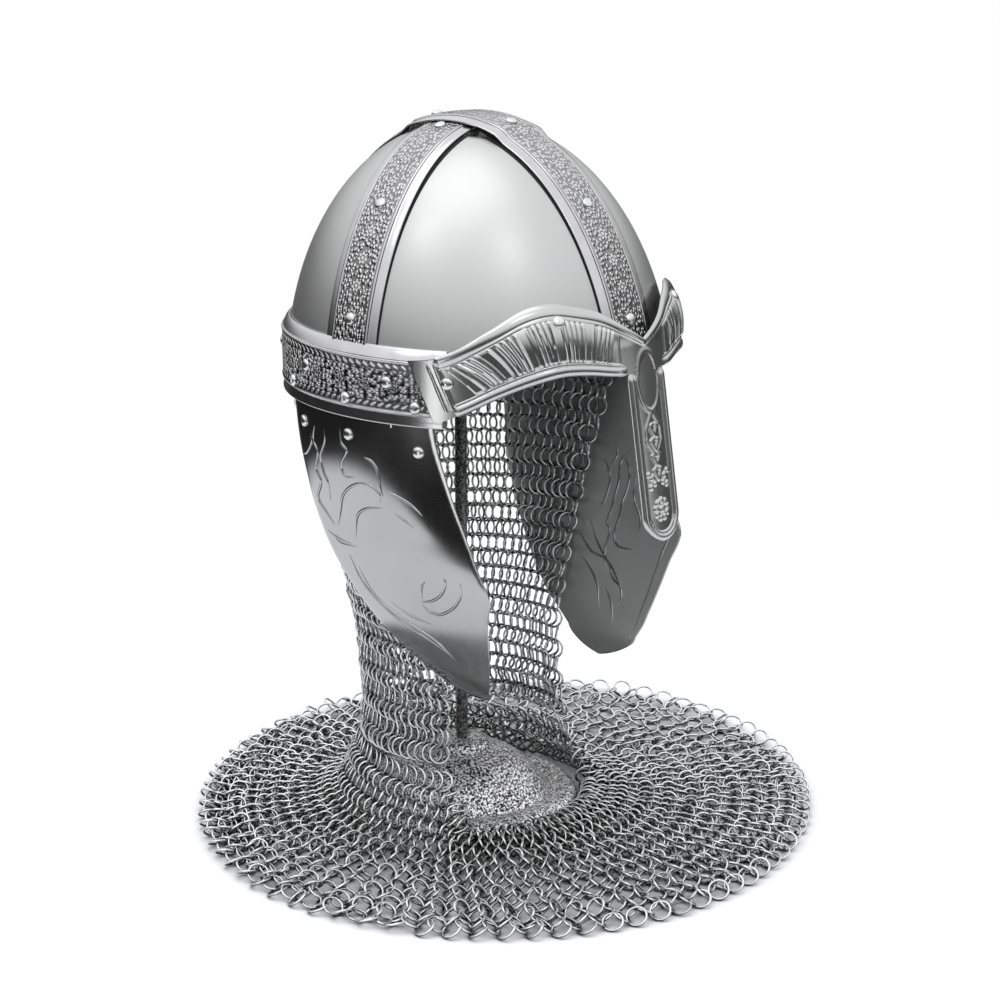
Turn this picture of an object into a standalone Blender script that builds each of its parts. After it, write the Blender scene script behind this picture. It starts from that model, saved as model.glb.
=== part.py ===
"""Norman helmet with a nasal, cheek plates and a mail neck guard, on a round display stand.

The wearer looks along -Y and the wearer's right is -X. The origin is the middle of the stand's
underside. Four skull panels meet under two crossed strips, a band runs round the brow, and one
pressed piece makes both eye arches and the nasal. The cheek plates are riveted inside the band.
The mail hangs inside them, is open at the face, and spreads over the floor round the stand.
"""
from math import acos, asin, cos, pi, radians, sin, sqrt

import bmesh
import bpy
import numpy as np
from mathutils import Matrix, Vector

GAP = 0.0003  # clearance between touching pieces

# Stand
BASE_RADIUS = 0.070
BASE_HEIGHT = 0.039
BASE_LIP = 0.008
BOSS_RADIUS = 0.017
BOSS_STEP = 0.005
ROD_RADIUS = 0.0035
HEAD_RADIUS = 0.012
HEAD_HEIGHT = 0.012
# the head's outline: radius and depth below its top, as shares of its radius and height
KNOB = ((0, 0), (0.5, 0.02), (0.8, 0.09), (1, 0.35), (0.8, 0.8), (0.45, 1), (0, 1))

# Brow band: outer half width and half depth of its oval, and the oval's centre line
HALF_WIDTH = 0.105
HALF_DEPTH = 0.1185
RING_Y = -0.0138
BAND_LOW = 0.2575
BAND_HEIGHT = 0.0425
BAND_WALL = 0.0015
BAND_RELIEF = 0.0008
BAND_FLANGE = 0.0065
BAND_LEAN = 0.0013  # the upper edge leans in by this
BAND_FRONT = radians(60.5)  # where each end stops, measured from the face

# Skull
DOME_INSET = 0.0022  # outer face of the panels, in from the band's outer face
DOME_FOOT = 0.267  # the sides are upright below this height
DOME_HEIGHT = 0.1437
DOME_RISE = 1.86
DOME_ROUND = 2.12
DOME_LEAN = 0.003  # the apex lies this far behind the oval's centre
SIDE_STRIP_BACK = 0.0035  # the side strip runs this far behind the apex
PANEL_WALL = 0.0012
PANEL_SPLIT = 0.012  # between two panels, under a strip
PANEL_TUCK_FRONT = 0.0105  # how far the panels reach down inside the brow
PANEL_TUCK_BACK = 0.0235
STRIP_WIDTH = 0.038
STRIP_WALL = 0.0012
STRIP_RELIEF = 0.0007
STRIP_TUCK = 0.0095
STRIP_HUMP = 0.012  # the upper strip stays raised this far past the lower one's edge
STRIP_RAMP = 0.009
STRIP_RAIL = 0.62  # half width of the raised middle, as a share of the strip's half width
STRIP_BEVEL = 0.13  # the step from the middle down to a flange, as the same share

# Brow piece with the nasal
BROW_WALL = 0.0012
BROW_RELIEF = 0.0009
BROW_SPAN = radians(70.7)  # temple end at the upper edge, measured from the face
BROW_SLANT = radians(7.1)  # the temple end slants forward by this
BROW_RISE = 0.0664  # top of the arches above the band's lower edge
BROW_LEAN = 0.0095  # the arch tops lean in by this
BROW_COLUMNS = 20  # across each arch; every second one is a raised flute
NASAL_WIDTH = 0.0285
NASAL_LENGTH = 0.0925
NASAL_SLOPE = 0.155
NASAL_FLARE = 0.028  # width at each side over which the slope dies out
# upper and lower edge: share of the half span, height as a share of BROW_RISE
BROW_UPPER = ((0, 0.658), (0.109, 0.785), (0.226, 0.915), (0.321, 0.965), (0.441, 1.0),
              (0.546, 0.962), (0.696, 0.80), (0.837, 0.632), (0.9, 0.587), (1, 0.557))
BROW_LOWER = ((0, 0.408), (0.117, 0.408), (0.21, 0.42), (0.31, 0.443), (0.446, 0.448),
              (0.572, 0.395), (0.734, 0.282), (0.87, 0.154), (0.962, 0.075), (1, 0.061))

# Cheek plates
CHEEK_WALL = 0.0012
CHEEK_TUCK = 0.017  # how far a plate reaches up inside the band
CHEEK_DROP = 0.1655  # band's lower edge to the tip
# share of the drop (from the top edge), rear and front edge as shares of the half depth from the
# oval's centre, half separation at each as a share of the half width, bulge as a share of the
# half width
CHEEK_SECTIONS = (
    (0.00, 0.513, -0.424, 0.839, 0.888, 0.118),
    (0.14, 0.509, -0.430, 0.838, 0.885, 0.112),
    (0.24, 0.492, -0.478, 0.836, 0.876, 0.098),
    (0.34, 0.464, -0.540, 0.828, 0.868, 0.084),
    (0.44, 0.435, -0.613, 0.806, 0.858, 0.075),
    (0.535, 0.380, -0.678, 0.788, 0.846, 0.066),
    (0.585, 0.344, -0.716, 0.773, 0.833, 0.060),
    (0.69, 0.247, -0.677, 0.731, 0.789, 0.052),
    (0.785, 0.132, -0.642, 0.684, 0.738, 0.042),
    (0.855, 0.019, -0.614, 0.637, 0.697, 0.034),
    (0.915, -0.111, -0.585, 0.600, 0.662, 0.025),
    (0.97, -0.250, -0.535, 0.551, 0.597, 0.013),
    (1.0, -0.365, -0.465, 0.515, 0.520, 0.0),
)

# Mail
MAIL_WALL = 0.003
MAIL_TUCK = 0.0045  # how far the curtain reaches up inside the band
MAIL_FOOT = 0.048  # height where the curtain meets the mantle
# share of the drop, half width and half depth as shares of the curtain's top, centre as a share
# of RING_Y, half opening at the face in degrees
MAIL_SECTIONS = (
    (0.00, 1.000, 1.000, 1.00, 78.8),
    (0.126, 0.955, 0.920, 1.00, 80.7),
    (0.266, 0.896, 0.815, 1.00, 83.9),
    (0.430, 0.828, 0.720, 1.00, 86.0),
    (0.579, 0.700, 0.700, 0.94, 83.5),
    (0.706, 0.580, 0.660, 0.65, 75.5),
    (0.804, 0.570, 0.600, 0.36, 67.0),
    (0.897, 0.580, 0.550, 0.29, 63.0),
    (1.00, 0.622, 0.560, 0.29, 61.0),
)
MANTLE_RADIUS = 0.196
MANTLE_X = 0.0185
MANTLE_Y = -0.019
MANTLE_STRETCH = 0.058
MANTLE_TURN = radians(35)
MANTLE_FALL = 0.018  # the mantle falls to the floor within about three of these
MANTLE_FRONT = radians(42)  # it lies flat within this angle of the face

# Rivets
RIVET_RADIUS = 0.0034
RIVET_HEIGHT = 0.0018
RIVET_BED = 0.0002  # room under a flat foot on a bowed strip
SHANK_RADIUS = 0.0015
SHANK_CLEARANCE = 0.0001
RIVET_SIDES = 8
STRIP_RIVETS = (0.14, 0.5, 0.88)  # along each leg of a strip, from the crown
BAND_RIVET_ANGLES = (77.5, 109.0, 145.0)  # degrees from the face, both sides
CHEEK_RIVETS = (69.0, 91.5, 118.0)  # degrees from the face
CHEEK_RIVET_RISE = 0.011  # clamping rivets above the band's lower edge
CHEEK_PLATE_RIVETS = ((0.10, 0.155), (0.50, 0.150), (0.90, 0.175))  # across and down a plate
BROW_RIVETS = ((0.42, 0.23), (0.885, 0.45))  # along the half span, down from the upper edge

BAND_HIGH = BAND_LOW + BAND_HEIGHT
DOME_TOP = DOME_FOOT + DOME_HEIGHT
PANEL_HALF_WIDTH = HALF_WIDTH - DOME_INSET
PANEL_HALF_DEPTH = HALF_DEPTH - DOME_INSET


def clamp(value, low=0.0, high=1.0):
    return min(max(value, low), high)


def ease(value):
    """Smooth step from 0 to 1."""
    value = clamp(value)
    return value * value * (3 - 2 * value)


def smooth(table, at, column=1):
    """Value of a table's column at a place along its first column, on a smooth curve."""
    places = [row[0] for row in table]
    values = [row[column] for row in table]
    slopes = np.gradient(values, places)
    k = int(clamp(np.searchsorted(places, at) - 1, 0, len(places) - 2))
    span = places[k + 1] - places[k]
    t = clamp((at - places[k]) / span)
    start = values[k] * (1 + 2 * t) * (1 - t) ** 2 + slopes[k] * span * t * (1 - t) ** 2
    end = values[k + 1] * t * t * (3 - 2 * t) - slopes[k + 1] * span * t * t * (1 - t)
    return start + end


def oval(angle, outset, z):
    """Point on the brow oval; the angle runs from the face towards the wearer's left."""
    x = (HALF_WIDTH + outset) * sin(angle)
    y = RING_Y - (HALF_DEPTH + outset) * cos(angle)
    return Vector((x, y, z))


def surface_frame(surface, u, v, step=0.01):
    """A surface's point at u, v and its unit normal pointing away from the rod."""
    point = surface(u, v)
    across = surface(u + step, v) - surface(u - step, v)
    down = surface(u, v + step) - surface(u, v - step)
    normal = across.cross(down).normalized()
    if normal.dot(Vector((point.x, point.y - RING_Y, 0))) < 0:
        normal.negate()
    return point, normal


# Making objects

def material(name, color, roughness, metallic):
    mat = bpy.data.materials.new(name)
    mat.use_nodes = True
    shader = mat.node_tree.nodes["Principled BSDF"]
    shader.inputs["Base Color"].default_value = (*color, 1)
    shader.inputs["Roughness"].default_value = roughness
    shader.inputs["Metallic"].default_value = metallic
    return mat


def add_object(name, mesh, mat):
    mesh.materials.append(mat)
    mesh.shade_smooth()
    mesh.set_sharp_from_angle(angle=radians(35))
    obj = bpy.data.objects.new(name, mesh)
    parts.objects.link(obj)
    return obj


def sheet(name, rows, wall, mat, offset=-1, closed=False):
    """Pressed sheet: a grid of points, rows downward and columns turning left, given a wall."""
    bm = bmesh.new()
    grid = [[bm.verts.new(point) for point in row] for row in rows]
    columns = len(rows[0])
    for upper, lower in zip(grid, grid[1:]):
        for c in range(columns if closed else columns - 1):
            d = (c + 1) % columns
            bm.faces.new((upper[c], lower[c], lower[d], upper[d]))
    mesh = bpy.data.meshes.new(name)
    bm.to_mesh(mesh)
    bm.free()
    obj = add_object(name, mesh, mat)
    add_wall(obj, wall, offset)
    return obj


def add_wall(obj, wall, offset):
    solidify = obj.modifiers.new("wall", "SOLIDIFY")
    solidify.thickness = wall
    solidify.offset = offset
    solidify.use_even_offset = True


def turned(name, profile, mat, steps):
    """Turned solid from a profile of radius and height, top to bottom."""
    mesh = bpy.data.meshes.new(name)
    edges = [(k, k + 1) for k in range(len(profile) - 1)]
    mesh.from_pydata([(r, 0, z) for r, z in profile], edges, [])
    obj = add_object(name, mesh, mat)
    screw = obj.modifiers.new("turn", "SCREW")
    screw.steps = screw.render_steps = steps
    screw.use_merge_vertices = True
    screw.merge_threshold = 0.00001
    screw.use_smooth_shade = True
    return obj


# Skull

def dome_climb(z):
    return clamp((z - DOME_FOOT) / DOME_HEIGHT)


def dome_scale(z):
    """Size of the skull's section at a height, as a share of its foot."""
    return (1 - dome_climb(z) ** DOME_RISE) ** (1 / DOME_ROUND)


def dome_centre(z):
    return RING_Y + DOME_LEAN * dome_climb(z)


def dome_rows(count, low, inner):
    """Evenly spaced (scale, height) pairs down the skull, from a smallest scale to a height."""
    fine_z = [DOME_TOP - (DOME_TOP - low) * (k / 400) ** 2 for k in range(401)]
    fine = [(dome_scale(z), z) for z in fine_z if dome_scale(z) >= inner]
    run = [0.0]
    for (s0, z0), (s1, z1) in zip(fine, fine[1:]):
        run.append(run[-1] + sqrt(((s1 - s0) * PANEL_HALF_WIDTH) ** 2 + (z1 - z0) ** 2))
    at = np.linspace(0, run[-1], count)
    heights = np.interp(at, run, [z for s, z in fine])
    return [(dome_scale(z), z) for z in heights]


def dome_excess(point):
    """Below zero inside the skull's outer face, above zero outside."""
    x = point.x / PANEL_HALF_WIDTH
    y = (point.y - dome_centre(point.z)) / PANEL_HALF_DEPTH
    over = max(point.z - DOME_TOP, 0) / DOME_HEIGHT
    return sqrt(x * x + y * y) - dome_scale(point.z) + over


def on_dome(toward, lift):
    """Point of the skull in a direction from its inner centre, lifted along the normal."""
    centre = Vector((0, RING_Y, DOME_FOOT))
    low, high = 0.0, 2.0
    for _ in range(40):
        middle = (low + high) / 2
        inside = dome_excess(centre + toward * middle) < 0
        low, high = (middle, high) if inside else (low, middle)
    point = centre + toward * low
    return point + on_dome_normal(point) * lift


def on_dome_normal(point):
    step = 0.0005
    axes = (Vector((step, 0, 0)), Vector((0, step, 0)), Vector((0, 0, step)))
    slope = [dome_excess(point + a) - dome_excess(point - a) for a in axes]
    return Vector(slope).normalized()


def skull_panel(name, side, end, tuck, mat):
    """Quarter of the skull; side is -1 for the right, end is -1 for the front."""
    edge = PANEL_SPLIT / 2
    rows = []
    for scale, z in dome_rows(11, BAND_HIGH - tuck, 1.75 * edge / PANEL_HALF_WIDTH):
        wide, deep = PANEL_HALF_WIDTH * scale, PANEL_HALF_DEPTH * scale
        first, last = asin(edge / deep), acos(edge / wide)
        row = []
        for k in range(9):
            turn = first + (last - first) * k / 8
            x, y = side * wide * cos(turn), dome_centre(z) + end * deep * sin(turn)
            row.append(Vector((x, y, z)))
        rows.append(row if side * end > 0 else row[::-1])
    return sheet(name, rows, PANEL_WALL, mat)


def strip_line(count):
    """Distance from the crown and height, from one foot of a strip over the crown."""
    leg = dome_rows(count, BAND_HIGH - STRIP_TUCK, 0)
    return [(-s, z) for s, z in leg[::-1]] + leg[1:]


def strip_lift(share, along, hump):
    lift = GAP + (STRIP_RELIEF if abs(share) <= STRIP_RAIL + 0.01 else 0)
    if hump:
        reach = abs(along) - STRIP_WIDTH / 2 - STRIP_HUMP
        lift += (STRIP_WALL + STRIP_RELIEF + 2 * GAP) * (1 - ease(reach / STRIP_RAMP))
    return lift


def strip_point(lengthwise, share, s, z, hump):
    """Point of a strip's lower face; lengthwise is True for the front-to-back strip."""
    across = share * STRIP_WIDTH / 2
    if lengthwise:
        along = s * PANEL_HALF_DEPTH
        toward = Vector((across, dome_centre(z) + along - RING_Y, z - DOME_FOOT))
    else:
        along = s * PANEL_HALF_WIDTH
        across += dome_centre(z) - RING_Y + SIDE_STRIP_BACK
        toward = Vector((along, across, z - DOME_FOOT))
    return on_dome(toward, strip_lift(share, along, hump))


def crossing_strip(name, lengthwise, mat):
    rail = STRIP_RAIL
    shares = (1, rail + STRIP_BEVEL, rail, 0, -rail, -rail - STRIP_BEVEL, -1)
    if not lengthwise:
        shares = shares[::-1]
    line = strip_line(15)
    rows = [[strip_point(lengthwise, share, s, z, lengthwise) for share in shares]
            for s, z in line]
    return sheet(name, rows, STRIP_WALL, mat, offset=1)


# Brow

def brow_band(mat):
    flange, step = BAND_FLANGE, 0.001
    profile = ((0, -BAND_LEAN), (flange, -0.2 * BAND_LEAN), (flange + step, BAND_RELIEF),
               (BAND_HEIGHT - flange - step, BAND_RELIEF), (BAND_HEIGHT - flange, 0),
               (BAND_HEIGHT, 0))
    count = 40
    rows = []
    for drop, relief in profile:
        turn = [BAND_FRONT + (2 * pi - 2 * BAND_FRONT) * k / count for k in range(count + 1)]
        rows.append([oval(t, relief, BAND_HIGH - drop) for t in turn])
    return sheet("brow_band", rows, BAND_WALL, mat)


def brow_edges(share):
    """Heights of the upper and lower edge at a share of the half span."""
    upper = BAND_LOW + BROW_RISE * smooth(BROW_UPPER, abs(share))
    lower = BAND_LOW + BROW_RISE * smooth(BROW_LOWER, abs(share))
    return upper, lower


def brow_surface(angle, z, relief=0.0):
    """Inner face of the brow piece, which leans in at the arches and out at the nasal."""
    outset = BAND_RELIEF + GAP + relief
    outset -= BROW_LEAN * clamp((z - BAND_HIGH) / (BAND_LOW + BROW_RISE - BAND_HIGH)) ** 2
    point = oval(angle, outset, z)
    side = ease((abs(point.x) - NASAL_WIDTH / 2) / NASAL_FLARE)
    point.y -= NASAL_SLOPE * max(BAND_HIGH - z, 0) * (1 - side)
    return point


def brow_point(share, down, relief=0.0):
    upper, lower = brow_edges(share)
    angle = share * (BROW_SPAN - BROW_SLANT * down)
    return brow_surface(angle, upper + (lower - upper) * down, relief)


def nasal_angle(across):
    return asin(across / (HALF_WIDTH + BAND_RELIEF + GAP))


def brow_nasal(mat):
    """Both arches as one grid of columns, with the nasal's grid below its middle columns."""
    root = nasal_angle(NASAL_WIDTH / 2) / (BROW_SPAN - BROW_SLANT)
    middle = [root * k / 2 for k in range(-2, 3)]
    outer = [root + (1 - root) * k / BROW_COLUMNS for k in range(1, BROW_COLUMNS + 1)]
    shares = [-s for s in outer[::-1]] + middle + outer
    downs = ((0, 1), (0.09, 1), (0.17, 0), (0.78, 0), (0.88, 1), (1, 1))
    bm = bmesh.new()
    grid = []
    for down, rim in downs:
        row = []
        for k, share in enumerate(shares):
            flute = 0.7 * (k % 2) if 0.1 < down < 0.8 and abs(share) > root else 0
            row.append(bm.verts.new(brow_point(share, down, BROW_RELIEF * (rim + flute))))
        grid.append(row)
    first = len(outer)
    tail = [grid[-1][first:first + 5]]
    tail_top = brow_edges(0)[1]
    tail_rows = 9
    radius = NASAL_WIDTH / 2
    for k in range(1, tail_rows + 1):
        depth = NASAL_LENGTH * (1 - (1 - k / tail_rows) ** 1.3)
        end = clamp((depth - NASAL_LENGTH + radius) / radius, 0, 0.97)
        half = radius * sqrt(1 - end * end)
        row = []
        for j, across in enumerate((-1, -0.5, 0, 0.5, 1)):
            rim = BROW_RELIEF if j in (0, 4) or k == tail_rows else 0
            angle = nasal_angle(half * across)
            row.append(bm.verts.new(brow_surface(angle, tail_top - depth, rim)))
        tail.append(row)
    for block in (grid, tail):
        for upper, lower in zip(block, block[1:]):
            for c in range(len(upper) - 1):
                bm.faces.new((upper[c], lower[c], lower[c + 1], upper[c + 1]))
    mesh = bpy.data.meshes.new("brow_nasal")
    bm.to_mesh(mesh)
    bm.free()
    obj = add_object("brow_nasal", mesh, mat)
    add_wall(obj, BROW_WALL, 1)
    return obj


# Cheek plates

def cheek_point(side, across, down):
    """Outer face of a cheek plate; across runs from the rear edge to the front edge."""
    rear, front, rear_x, front_x, bulge = (smooth(CHEEK_SECTIONS, down, c) for c in range(1, 6))
    depth = HALF_DEPTH - BAND_WALL - GAP
    width = HALF_WIDTH - BAND_WALL - GAP
    y = RING_Y + depth * (rear + (front - rear) * across)
    bow = 4 * across * (1 - across)
    x = width * (rear_x + (front_x - rear_x) * across + bulge * bow)
    top = sqrt(max(width * width * (1 - ((y - RING_Y) / depth) ** 2), 0))
    x += (top - x) * (1 - ease((down - 0.12) / 0.12)) if down < 0.24 else 0
    z = BAND_LOW + CHEEK_TUCK - (CHEEK_DROP + CHEEK_TUCK) * down
    return Vector((side * x, y, z))


def cheek_plate(name, side, mat):
    downs = (0, 0.07, 0.14, 0.24, 0.34, 0.44, 0.52, 0.585, 0.69, 0.785, 0.855, 0.915, 0.97, 1)
    shares = [k / 7 for k in range(8)]
    if side > 0:
        shares = shares[::-1]
    rows = [[cheek_point(side, a, d) for a in shares] for d in downs]
    return sheet(name, rows, CHEEK_WALL, mat)


# Mail

def mail_section(down):
    """Half width, half depth, centre and half opening of the curtain's outer face."""
    inset = BAND_WALL + CHEEK_WALL + 3 * GAP
    wide = (HALF_WIDTH - inset) * smooth(MAIL_SECTIONS, down, 1)
    deep = (HALF_DEPTH - inset) * smooth(MAIL_SECTIONS, down, 2)
    centre = RING_Y * smooth(MAIL_SECTIONS, down, 3)
    return wide, deep, centre, radians(smooth(MAIL_SECTIONS, down, 4))


def mail_curtain(mat):
    top = BAND_LOW + MAIL_TUCK
    columns, steps = 30, 10
    rows = []
    for k in range(steps + 1):
        down = k / steps
        wide, deep, centre, opening = mail_section(down)
        z = top + (MAIL_FOOT - top) * down
        row = []
        for c in range(columns + 1):
            turn = opening + (2 * pi - 2 * opening) * c / columns
            row.append(Vector((wide * sin(turn), centre - deep * cos(turn), z)))
        rows.append(row)
    return sheet("mail_curtain", rows, MAIL_WALL, mat)


def mantle_rim(turn):
    """Point of the mantle's rim on the floor, an oval laid askew."""
    swell = 1 + MANTLE_STRETCH * cos(2 * (turn - pi / 2 - MANTLE_TURN))
    radius = MANTLE_RADIUS * swell
    return Vector((MANTLE_X + radius * sin(turn), MANTLE_Y - radius * cos(turn), 0))


def mantle_neck(turn):
    """Inner edge: under the curtain at the back and sides, on the floor before the stand."""
    wide, deep, centre, opening = mail_section(1)
    inward = MAIL_WALL
    raised = Vector(((wide - inward) * sin(turn), centre - (deep - inward) * cos(turn), 0))
    laid = (BASE_RADIUS + 0.0035) * Vector((sin(turn), -cos(turn), 0))
    from_face = abs((turn + pi) % (2 * pi) - pi)
    rise = ease((from_face - MANTLE_FRONT) / (opening - MANTLE_FRONT))
    point = laid.lerp(raised, rise)
    point.z = rise * (MAIL_FOOT - 0.4 * MAIL_WALL - GAP)
    return point


def mail_mantle(mat):
    shares = (0, 0.03, 0.075, 0.14, 0.24, 0.42, 0.7, 1)
    columns = 40
    rows = []
    for share in shares:
        row = []
        for c in range(columns):
            turn = 2 * pi * c / columns
            neck, rim = mantle_neck(turn), mantle_rim(turn)
            point = neck.lerp(rim, share)
            run = (point.xy - neck.xy).length
            point.z = neck.z * np.exp(-run / MANTLE_FALL) if share < 0.6 else 0
            row.append(point)
        rows.append(row)
    return sheet("mail_mantle", rows, MAIL_WALL, mat, offset=1, closed=True)


# Rivets

def rivet(name, seat, normal, mat, grip=0.0, through=()):
    """Domed head on a surface; one with a grip has a shank through a clearance hole."""
    r, h, s = RIVET_RADIUS, RIVET_HEIGHT, SHANK_RADIUS
    profile = [(0, h), (0.62 * r, 0.74 * h), (r, 0.22 * h), (r, 0)]
    profile += [(s, 0), (s, -grip), (0, -grip)] if grip else [(0, 0)]
    obj = turned(name, profile, mat, RIVET_SIDES)
    turn = normal.to_track_quat("Z", "X").to_matrix().to_4x4()
    place = Matrix.Translation(seat + normal * GAP) @ turn
    obj.matrix_world = place
    for plate in through:
        cut_hole(plate, name, place)
    return obj


def cut_hole(plate, name, place):
    """Clearance hole for a shank, cut across the plate's wall."""
    bm = bmesh.new()
    radius = SHANK_RADIUS + SHANK_CLEARANCE
    bmesh.ops.create_cone(bm, cap_ends=True, segments=RIVET_SIDES, radius1=radius,
                          radius2=radius, depth=10 * radius)
    mesh = bpy.data.meshes.new("hole_" + name)
    bm.to_mesh(mesh)
    bm.free()
    cutter = bpy.data.objects.new("hole_" + name, mesh)
    cutter.matrix_world = place
    cutter.hide_render = True
    cutter.display_type = "WIRE"
    cutters.objects.link(cutter)
    boolean = plate.modifiers.new("hole", "BOOLEAN")
    boolean.operation = "DIFFERENCE"
    boolean.solver = "EXACT"
    boolean.object = cutter


def strip_rivets(mat):
    """Rivets down each of the four legs, on the strips' raised middles."""
    leg = dome_rows(101, BAND_HIGH - STRIP_TUCK, 0)
    legs = (("front", True, -1), ("back", True, 1), ("right", False, -1), ("left", False, 1))
    for label, lengthwise, sign in legs:
        for k, share in enumerate(STRIP_RIVETS):
            scale, z = leg[round(100 * share)]
            seat = strip_point(lengthwise, 0, sign * scale, z, lengthwise)
            foot = on_dome(seat - Vector((0, RING_Y, DOME_FOOT)), 0)
            normal = on_dome_normal(foot)
            rivet(f"rivet_{label}_{k + 1}", seat + normal * (STRIP_WALL + RIVET_BED), normal, mat)


def oval_normal(angle):
    return Vector((sin(angle) / HALF_WIDTH, -cos(angle) / HALF_DEPTH, 0)).normalized()


def band_rivets(mat):
    z = BAND_HIGH - BAND_HEIGHT * 0.45
    for side, label in ((-1, "right"), (1, "left")):
        for k, degrees in enumerate(BAND_RIVET_ANGLES):
            angle = side * radians(degrees)
            rivet(f"rivet_band_{label}_{k + 1}", oval(angle, BAND_RELIEF, z),
                  oval_normal(angle), mat)


def cheek_rivets(band, plates, mat):
    """Upper rivets clamp each plate to the band; lower ones sit in the plate below it."""
    grip = BAND_RELIEF + BAND_WALL + CHEEK_WALL + 3 * GAP
    for side, label in ((-1, "right"), (1, "left")):
        plate = plates[side]
        for k, degrees in enumerate(CHEEK_RIVETS):
            angle = side * radians(degrees)
            seat = oval(angle, BAND_RELIEF, BAND_LOW + CHEEK_RIVET_RISE)
            rivet(f"rivet_cheek_{label}_{k + 1}", seat, oval_normal(angle), mat,
                  grip, (band, plate))
        for k, (across, down) in enumerate(CHEEK_PLATE_RIVETS):
            seat, normal = surface_frame(lambda u, v: cheek_point(side, u, v), across, down)
            rivet(f"rivet_plate_{label}_{k + 1}", seat, normal, mat, CHEEK_WALL + GAP, (plate,))


def brow_rivets(mat):
    for side, label in ((-1, "right"), (1, "left")):
        for k, (share, down) in enumerate(BROW_RIVETS):
            relief = BROW_RELIEF * 0.7
            seat, normal = surface_frame(lambda u, v: brow_point(u, v, relief), side * share, down)
            rivet(f"rivet_brow_{label}_{k + 1}", seat + normal * BROW_WALL, normal, mat)


# Stand

def crown_clearance(radius):
    """Highest point at this radius round the rod that stays under the skull panels."""
    ways = [(cos(k * pi / 4), sin(k * pi / 4)) for k in range(8)]
    roof = min(on_dome(Vector((radius * c, radius * s - RING_Y, DOME_HEIGHT)), 0).z
               for c, s in ways)
    return roof - PANEL_WALL - GAP


def stand(mat):
    lip, high, boss = BASE_LIP, BASE_HEIGHT, BOSS_RADIUS
    r = BASE_RADIUS
    swell = high - BOSS_STEP - lip
    profile = ((0, high), (boss - 0.003, high), (boss, high - 0.002), (boss, high - BOSS_STEP),
               (0.45 * r, lip + 0.80 * swell), (0.60 * r, lip + 0.50 * swell),
               (0.70 * r, lip + 0.16 * swell), (0.755 * r, lip), (0.85 * r, 1.12 * lip),
               (0.94 * r, 1.05 * lip), (0.985 * r, 0.75 * lip), (r, 0.4 * lip), (r, 0), (0, 0))
    turned("stand_base", profile, mat, 32)
    top = min(crown_clearance(share * HEAD_RADIUS) + drop * HEAD_HEIGHT for share, drop in KNOB)
    rod_top = top - HEAD_HEIGHT
    rod_low = high + GAP
    bm = bmesh.new()
    bmesh.ops.create_cone(bm, cap_ends=True, segments=16, radius1=ROD_RADIUS,
                          radius2=ROD_RADIUS, depth=rod_top - GAP - rod_low)
    mesh = bpy.data.meshes.new("stand_rod")
    bm.to_mesh(mesh)
    bm.free()
    rod = add_object("stand_rod", mesh, mat)
    rod.location.z = (rod_top - GAP + rod_low) / 2
    knob = [(share * HEAD_RADIUS, top - drop * HEAD_HEIGHT) for share, drop in KNOB]
    turned("stand_head", knob, mat, 16)


def clear_scene():
    for obj in list(bpy.data.objects):
        bpy.data.objects.remove(obj, do_unlink=True)


def build():
    panel_steel = material("panel_steel", (0.52, 0.53, 0.53), 0.33, 1)
    strip_steel = material("strip_steel", (0.60, 0.61, 0.61), 0.30, 1)
    brow_steel = material("brow_steel", (0.62, 0.63, 0.63), 0.24, 1)
    cheek_steel = material("cheek_steel", (0.50, 0.52, 0.52), 0.22, 1)
    mail_steel = material("mail_steel", (0.56, 0.58, 0.58), 0.35, 1)
    rivet_steel = material("rivet_steel", (0.66, 0.67, 0.67), 0.25, 1)
    stand_paint = material("stand_paint", (0.10, 0.10, 0.11), 0.45, 0.3)

    skull_panel("panel_front_right", -1, -1, PANEL_TUCK_FRONT, panel_steel)
    skull_panel("panel_front_left", 1, -1, PANEL_TUCK_FRONT, panel_steel)
    skull_panel("panel_back_right", -1, 1, PANEL_TUCK_BACK, panel_steel)
    skull_panel("panel_back_left", 1, 1, PANEL_TUCK_BACK, panel_steel)
    crossing_strip("strip_side_to_side", False, strip_steel)
    crossing_strip("strip_front_to_back", True, strip_steel)
    band = brow_band(strip_steel)
    brow_nasal(brow_steel)
    plates = {-1: cheek_plate("cheek_plate_right", -1, cheek_steel),
              1: cheek_plate("cheek_plate_left", 1, cheek_steel)}
    mail_curtain(mail_steel)
    mail_mantle(mail_steel)
    strip_rivets(rivet_steel)
    band_rivets(rivet_steel)
    cheek_rivets(band, plates, rivet_steel)
    brow_rivets(rivet_steel)
    stand(stand_paint)


clear_scene()
parts = bpy.data.collections.new("norman_helmet")
cutters = bpy.data.collections.new("cutters")
bpy.context.scene.collection.children.link(parts)
bpy.context.scene.collection.children.link(cutters)
build()
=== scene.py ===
"""Scene of a norman helmet with a mail neck guard, on a round display stand.

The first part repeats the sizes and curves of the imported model, so that each detailed piece
lies where its solid does. Then come the materials, the steel pieces, the mail, the stand and
the studio. Lengths are in metres.
"""

from functools import lru_cache
from math import acos, asin, cos, pi, radians, sin, sqrt

import bpy
import numpy as np
from mathutils import Matrix, Vector


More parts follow.
